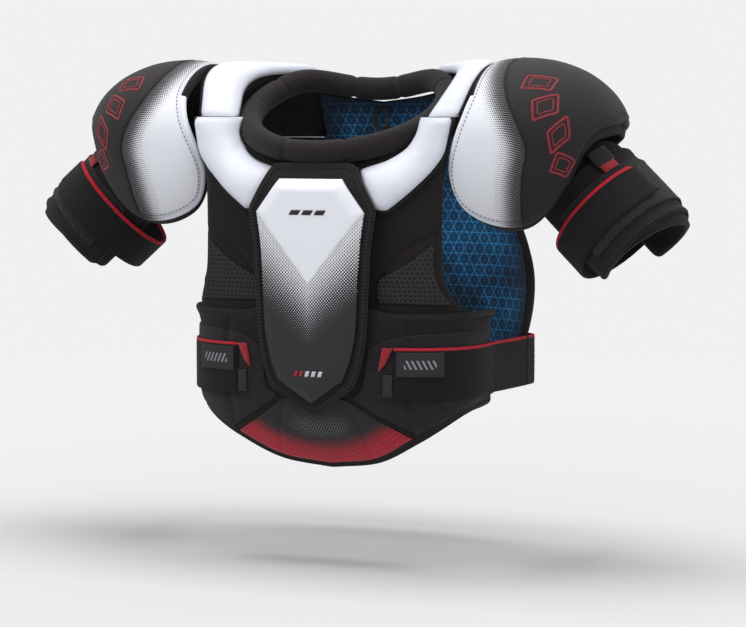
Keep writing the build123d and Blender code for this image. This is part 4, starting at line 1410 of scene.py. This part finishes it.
_z = np.linspace(-141, 15.6, 60)
seam_front = np.array([cap_flat(seam_x(z), z, -1) for z in _z])
seam_back = np.array([cap_flat(seam_x(z), z, 1) for z in _z[::-1] if z > -104])
cap_seam = even(np.vstack([seam_front, seam_back[1:]]), 3.0)
second = np.array([cap_flat(seam_x(z) - 22 + 0.05 * (z + 60), z, -1) for z in np.linspace(-128, 8, 40)])
cap_groove = inset_line(cap_loop, 9.0)
_at = cap(cap_groove, np.full(len(cap_groove), 10.0))
cap_groove = np.roll(cap_groove, -int(np.argmin(_at[:, 0] + np.abs(_at[:, 1] - 90) * 0.2)), 0)
_at = cap(cap_groove, np.full(len(cap_groove), 10.0))
cap_groove = cap_groove[(_at[:, 2] < -38) & (_at[:, 1] < 40)]
_order = np.argsort(np.arctan2(cap_groove[:, 1] + 20, cap_groove[:, 0] - 10))
cap_groove = cap_groove[_order]
cap_groove = even(cap_groove[np.concatenate([[True], np.linalg.norm(np.diff(cap_groove, axis=0), axis=1) < 12])],
    3.0)
cover = Pad(cap, cap_loop, 8.3, 11.5, edge=0.35, round_over=9, crown=0.05, wrinkles=0.5, scale=30,
            seams=[cap_seam, even(second, 3.0)], seam_depth=0.35, seam_width=1.8)
fade = {"fade": past_seam}
white_cap = cover.build("left_cap_white", cap_print, 4.0, lambda c: past_seam(c) <= 0, fade)
both(white_cap, "left_cap", "left_cap_cover_white", "white_fabric", 0.7)
black_cap = cover.build("left_cap_black", cap_print, 4.0, lambda c: past_seam(c) > 0, fade)
both(black_cap, "left_cap", "left_cap_cover_black", "black_knit", 0.7)


def cap_roll(name, line, half_width, half_thick, depth):
    """The soft roll along the cap's edge, which takes the print's colour."""
    line = even(line, 3.0)
    points, normals = lift(cap, line, depth)
    piece = sweep(name, points, normals, half_width, half_thick, cap_print, False, 14, None, 2.2)
    at = np.repeat(past_seam(line), 14)
    piece.data.attributes.new("fade", "FLOAT", "POINT").data.foreach_set("value", at.astype(np.float32))
    piece.data.attributes.new("edge", "FLOAT", "POINT").data.foreach_set("value", np.full(len(at), 12, np.float32))
    return piece


lower_edge = soften(even(np.vstack([front_lobe, back_lobe[::-1][1:]]), 3.0), 4, False)
both(cap_roll("left_cap_roll", lower_edge, 4.4, 3.3, 7.2), "left_cap", (), "white_fabric")
sew("left_cap_edge_stitches", cover, inset_line(cap_loop, 5.6)[40:-30], "left_cap")
sew("left_cap_seam_stitches", cover, cap_seam[2:-2] + [2.4, 0.6], "left_cap")
hinge_line = even(cap_hinge(), 3.0)
points, normals = lift(cap, hinge_line, 6.0)
both(sweep("left_cap_hinge_tape", points, normals, 3.0, 4.6, tape, False, 12, None, 2.6), "left_cap", (),
    "black_binding")


def outline_block(name, centre, across, up, size, lean):
    """A stitched outline of a slanting block."""
    corners = []
    for i, j in ((-1, -1), (1, -1), (1, 1), (-1, 1)):
        corners.append(centre + across * (i * size[0] / 2 + j * lean) + up * (j * size[1] / 2))
    parts = []
    for shrink, half in ((1.0, 1.1), (0.62, 0.6)):
        mid = np.mean(corners, 0)
        loop = np.array([mid + (c - mid) * shrink for c in corners])
        path = soften(even(np.vstack([loop, loop[:1]]), 1.8)[:-1], 1)
        points, normals = cover.line(path, 0.12)
        parts.append(sweep(f"{name}_{len(parts)}", points, normals, half, 0.35, red_outline, True, 8, None, 2.4))
    return parts


for k, z in enumerate((-84, -56, -30, -8)):
    here, there = (np.array(cap_flat(seam_x(q) + 31, q, -1)) for q in (z, z + 6))
    up = (there - here) / np.linalg.norm(there - here)
    across = np.array([up[1], -up[0]])
    for n, piece in enumerate(outline_block(f"left_cap_outline_{k}", here, across, up, (30.0, 19.0), 3.5)):
        both(piece, "left_cap", (), "red_print")

# ---------------------------------------------------------------------------------------------- arm guards
def arm_form(p, depth):
    return arm(p, depth)


def arm_x(degrees):
    return 48.5 * math.cos(math.radians(degrees))


arm_top = [(arm_at(d), -float(np.interp(arm_x(d), (-62, 20, 62), (60, 42, 31)))) for d in range(-95, 151, 5)]
arm_bottom = [(arm_at(d), float(np.interp(arm_x(d), (-62, 0, 40, 62), (60, 64, 70, 78)))) for d in range(150, -96,
    -5)]
arm_loop = closed(arm_top, [arm_top[-1], arm_bottom[0]], arm_bottom)
arm_pad = Pad(arm_form, arm_loop, 45.0, 52.0, edge=0.55, round_over=7, crown=0.05, wrinkles=0.35, scale=24)
both(arm_pad.build("left_arm_pad_cloth", black_smooth, 5.0), "left_arm_guard", "left_arm_foam", "black_knit", 0.7)
both(binding("left_arm_binding", arm_pad, tape, 3.0, 0.5), "left_arm_guard", (), "black_binding")
shell_loop = closed([(arm_at(-78), -22), (arm_at(133), -22)],
    [(arm_at(133), -22), (arm_at(137), -18), (arm_at(138), -12)],
                    [(arm_at(138), -12), (arm_at(138), 56)],
                        [(arm_at(138), 56), (arm_at(136), 63), (arm_at(130), 66)],
                    [(arm_at(130), 66), (arm_at(-76), 66)],
                        [(arm_at(-76), 66), (arm_at(-81), 63), (arm_at(-83), 56)],
                    [(arm_at(-83), 56), (arm_at(-83), -12)])
shell_seam = [curve([(arm_at(d), s) for d in (-80, 0, 60, 135)], 3) for s in (-12, 58)]
shell = Pad(arm_form, shell_loop, 52.3, 56.8, edge=0.35, round_over=7, crown=0.1, wrinkles=0.3, seams=shell_seam,
    seam_depth=0.3)
both(shell.build("left_arm_shell_cloth", black_knit, 5.0), "left_arm_guard", "left_arm_shell", "black_plastic")
sew("left_arm_shell_stitches", shell, inset_line(shell_loop, 3.0), "left_arm_guard", True)
patch_loop = closed([(arm_at(-60), -3), (arm_at(116), -3)], [(arm_at(116), -3), (arm_at(116), 52)],
                    [(arm_at(116), 52), (arm_at(-60), 52)], [(arm_at(-60), 52), (arm_at(-60), -3)])
patch = Pad(arm_form, patch_loop, 57.1, 58.6, edge=0.5, round_over=3, crown=0.1, wrinkles=0.1)
both(patch.build("left_arm_loop_cloth", loop_cloth, 5.0), "left_arm_guard", "left_arm_loop_patch", "loop_pile")
sew("left_arm_loop_stitches", patch, inset_line(patch_loop, 2.2), "left_arm_guard", True)


def strap_loop(a, b, low, high, round_end=0.0):
    """A strap's outline, its first end rounded."""
    r = round_end
    start = [(a, high - r), (a + 0.3 * r, high - 0.3 * r), (a + r, high)] if r else [(a, high - 0.1), (a, high)]
    end = [(a + r, low), (a + 0.3 * r, low + 0.3 * r), (a, low + r)] if r else [(a, low), (a, low + 0.1)]
    return closed(start, [start[-1], (b, high)], [(b, high), (b, low)], [(b, low), end[0]], end, step=3.5)


arm_strap = Pad(arm_form, strap_loop(arm_at(26), arm_at(204), 4, 42, 7), 59.0, 61.0, edge=0.6, round_over=2.5,
    crown=0.05,
                wrinkles=0.3, scale=18)
both(arm_strap.build("left_arm_strap_web", arm_elastic, 4.0), "left_arm_strap", "left_arm_strap", "black_elastic")
strap_base = Pad(arm_form, strap_loop(arm_at(205.5), arm_at(284), 4, 42), 59.0, 61.0, edge=0.6, round_over=2.5,
    crown=0.05,
                 wrinkles=0.2, scale=18)
both(strap_base.build("left_arm_strap_base_web", arm_elastic, 4.0), "left_arm_guard", "left_arm_strap_base",
    "black_elastic")
hook_pad = Pad(arm_form, strap_loop(arm_at(19), arm_at(25.7), 8, 38), 59.0, 61.0, edge=0.5, round_over=2,
    crown=0.0, wrinkles=0.0)
both(hook_pad.build("left_arm_hook_end", hook_cloth, 3.0), "left_arm_strap", "left_arm_strap_hook", "hook_sheet")
hanger = Pad(arm_form, strap_loop(arm_at(36), arm_at(56), -27, -10), 59.0, 61.0, edge=0.7, round_over=2, crown=0.0,
    wrinkles=0.1)
both(hanger.build("left_arm_hanger_web", black_web, 3.0), "left_arm_hanger", "left_arm_hanger", "black_webbing")
finger = Pad(arm_form, strap_loop(arm_at(38), arm_at(54), -9.7, -2), 59.0, 61.0, edge=0.7, round_over=2, crown=0.0,
    wrinkles=0.1)
both(finger.build("left_arm_hanger_finger_tab", red_web, 2.5), "left_arm_hanger", "left_arm_hanger_pull", "red_tab")

# ---------------------------------------------------------------------------------------------- belly straps
def strap_at(turn):
    x = form_xy(np.array([float(turn)]), 21.5, FRONT_FORM)[0][0] * (1 - WAIST)
    front = int(np.argmax(STRAP_PLAN[:, 1] > 0))
    return float(np.interp(x, STRAP_PLAN[:front, 0], STRAP_ALONG[:front]))


belly_strap = Pad(strap_side, strap_loop(strap_at(32), STRAP_END - 0.5, BELLY_LOW_Z, BELLY_HIGH_Z), 21.5, 23.5, edge=0.6,
    round_over=2.5,
                  crown=0.05, wrinkles=0.35, scale=26)
both(belly_strap.build("left_belly_strap_web", belly_elastic, 4.0), "left_belly_strap", "left_belly_strap",
    "black_elastic")
label_pad = Pad(strap_side, strap_loop(strap_at(33), strap_at(49), -288, -264), 23.8, 25.0, edge=0.6, round_over=2,
    crown=0.0,
                wrinkles=0.0)
both(label_pad.build("left_belly_strap_label_patch", label_cloth, 3.0), "left_belly_strap",
    "left_belly_strap_label", "label")
_end, _sewn = strap_at(26.7), strap_at(31.8)
_tab = [(_end * 0.72 + _sewn * 0.28, -260.4), (_sewn, -260.4), (_end * 0.55 + _sewn * 0.45, -277.0), (_end, -283.6)]
tab_loop = closed(*[[_tab[k], _tab[(k + 1) % 4]] for k in range(4)], step=1.5)
pull_pad = Pad(strap_side, tab_loop, 21.5, 23.5, edge=0.6, round_over=2, crown=0.0,
               wrinkles=0.15, scale=10)
both(pull_pad.build("left_belly_strap_finger_tab", red_web, 3.0), "left_belly_strap", "left_belly_strap_pull",
    "red_tab")
strap_hook = Pad(strap_side, strap_loop(strap_at(28.2), strap_at(31.8), -308, -286), 21.5, 23.5, edge=0.5,
    round_over=2,
                 crown=0.0, wrinkles=0.0)
both(strap_hook.build("left_belly_strap_hook_end", hook_cloth, 3.0), "left_belly_strap", "left_belly_strap_hook",
    "hook_sheet")


def anchor_side(p, depth):
    """The strap's anchor on the back: p holds (distance from the strap's end, height)."""
    turns = np.array([52, 48, 44, 40, 36], float)
    x, y = form_xy(turns, np.full(5, 12.5), BACK_FORM)
    plan = np.vstack([[(164.0, 76.0)], np.stack([x,
        MID_Y + y - BACK_LEAN * max(0.0, (BELLY_MID_Z - BACK_LEAN_START_Z) / 112) ** 2], 1)])
    plan = curve(plan, 2.0)
    along = np.concatenate([[0], np.cumsum(np.linalg.norm(np.diff(plan, axis=0), axis=1))])
    return follow(p, depth - ANCHOR_DEPTH, along, plan, 1.5)


anchor = Pad(anchor_side, strap_loop(0.5, 58.0, BELLY_LOW_Z, BELLY_HIGH_Z), 11.5, 13.5, edge=0.6, round_over=2.5, crown=0.05,
    wrinkles=0.2)
both(anchor.build("left_strap_anchor_web", belly_elastic, 4.0), "torso", "left_strap_anchor", "black_elastic")
# The strap is sewn to its anchor by a roll that lies on the axis it opens about, so the joint stays closed.
joint = np.array([(163.9, 75.0, z) for z in np.linspace(-309.0, -261.0, 17)])
both(sweep("left_strap_joint_roll", joint, np.tile([1.0, 0.0, 0.0], (17, 1)), 2.4, 1.7, tape, False, 12, None, 2.2),
     "torso", (), "black_binding")

# ---------------------------------------------------------------------------------------------- hidden CAD nodes
stiff_sheet = moulded("stiff_insert", "1b1b1e", "2c2c30", 0.5)
for node_name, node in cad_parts.items():
    if node.type == "MESH" and not node.hide_render:
        node.data.materials.clear()
        node.data.materials.append(stiff_sheet)

# ---------------------------------------------------------------------------------------------- studio
AZIMUTH, ELEVATION, DISTANCE = math.radians(21), math.radians(5), 2.4
right = Vector((math.cos(AZIMUTH), math.sin(AZIMUTH), 0))
up = Vector((-math.sin(AZIMUTH) * math.sin(ELEVATION), math.cos(AZIMUTH) * math.sin(ELEVATION),
    math.cos(ELEVATION)))
ahead = Vector((-math.sin(AZIMUTH) * math.cos(ELEVATION), math.cos(AZIMUTH) * math.cos(ELEVATION),
    -math.sin(ELEVATION)))
target = Vector((0, 0, -0.180)) + 0.0245 * right - 0.0565 * up
camera_data = bpy.data.cameras.new("camera")
camera_data.lens, camera_data.sensor_width = 115.8, 36.0
camera = bpy.data.objects.new("camera", camera_data)
camera.location = target - DISTANCE * ahead
camera.rotation_mode = "QUATERNION"
camera.rotation_quaternion = ahead.to_track_quat("-Z", "Y")
bpy.context.scene.collection.objects.link(camera)
bpy.context.scene.camera = camera

FLOOR_Z, FLOOR_SIDES = -0.477, 96
bowl = [(0.02, 0.0), (1.0, 0.0), (3.0, 0.0), (6.0, 0.0), (8.0, 0.1), (9.0, 0.6), (9.4, 1.6), (9.5, 4.0), (9.5, 9.0)]
bowl = curve(bowl, 0.25)
verts, faces = [], []
for i, (r, z) in enumerate(bowl):
    for k in range(FLOOR_SIDES):
        a, l = k * math.pi / 48, (k + 1) % FLOOR_SIDES
        verts.append((r * math.cos(a) / MM, r * math.sin(a) / MM, (z + FLOOR_Z) / MM))
        if i < len(bowl) - 1:
            faces.append(tuple(FLOOR_SIDES * (i + up_one) + side for up_one,
                side in ((0, k), (0, l), (1, l), (1, k))))
faces.append(tuple(range(FLOOR_SIDES - 1, -1, -1)))
paper = Look("studio_paper", specular=0.0, glow=1.0)
_x, _y, _z = paper.place()
# Near the object the paper takes light, and so shadow; further out it only glows, and the two add up to one grey.
_square = _x * _x + _y * _y
_takes = _square.root().step(2400.0, 900.0) * 0.45
_falls = (_square / 4.0e6 + 1.0) * (_square / 4.0e6 + 1.0)
_glow = _takes * -0.55 - _takes * 1.01 / _falls + 0.875
paper.set(paper.shader.inputs["Emission Color"], paper.mix(_glow, "000000", "ffffff"))
floor = new_mesh("studio_floor", verts, faces, None, None,
    paper.finish(paper.mix(_takes, "000000", "ffffff"), 0.95))
floor.visible_diffuse = floor.visible_glossy = floor.visible_shadow = False

world = bpy.data.worlds.new("studio")
bpy.context.scene.world = world
world.use_nodes = True
world.node_tree.nodes["Background"].inputs["Color"].default_value = (0.96, 0.97, 1.0, 1)
world.node_tree.nodes["Background"].inputs["Strength"].default_value = 0.55


def linked(name, thing, state):
    """A set that tells a light whether it falls on the floor."""
    group = bpy.data.collections.new(name)
    group.objects.link(thing)
    group.collection_objects[0].light_linking.link_state = state
    return group


not_on_floor, only_floor = linked("not_on_floor", floor, "EXCLUDE"), linked("only_floor", floor, "INCLUDE")


def softbox(name, azimuth, elevation, distance, size, power, falls_on=not_on_floor):
    """An area light round the object, facing its middle."""
    light = bpy.data.lights.new(name, "AREA")
    light.shape, light.size, light.size_y, light.energy = "RECTANGLE", size[0], size[1], power
    a, e = math.radians(azimuth), math.radians(elevation)
    away = Vector((math.sin(a) * math.cos(e), -math.cos(a) * math.cos(e), math.sin(e)))
    lamp = bpy.data.objects.new(name, light)
    lamp.location = Vector((0, 0, -0.18)) + away * distance
    lamp.rotation_mode = "QUATERNION"
    lamp.rotation_quaternion = (-away).to_track_quat("-Z", "Y")
    bpy.context.scene.collection.objects.link(lamp)
    lamp.light_linking.receiver_collection = falls_on


softbox("key_light", -30, 42, 2.6, (1.5, 1.1), 22)
softbox("fill_light", 70, 22, 2.6, (1.5, 1.1), 12)
softbox("top_light", 0, 90, 1.7, (0.8, 0.8), 12)
softbox("floor_light", 0, 90, 1.7, (1.5, 1.0), 44, only_floor)
bpy.context.scene.view_settings.view_transform = "Standard"
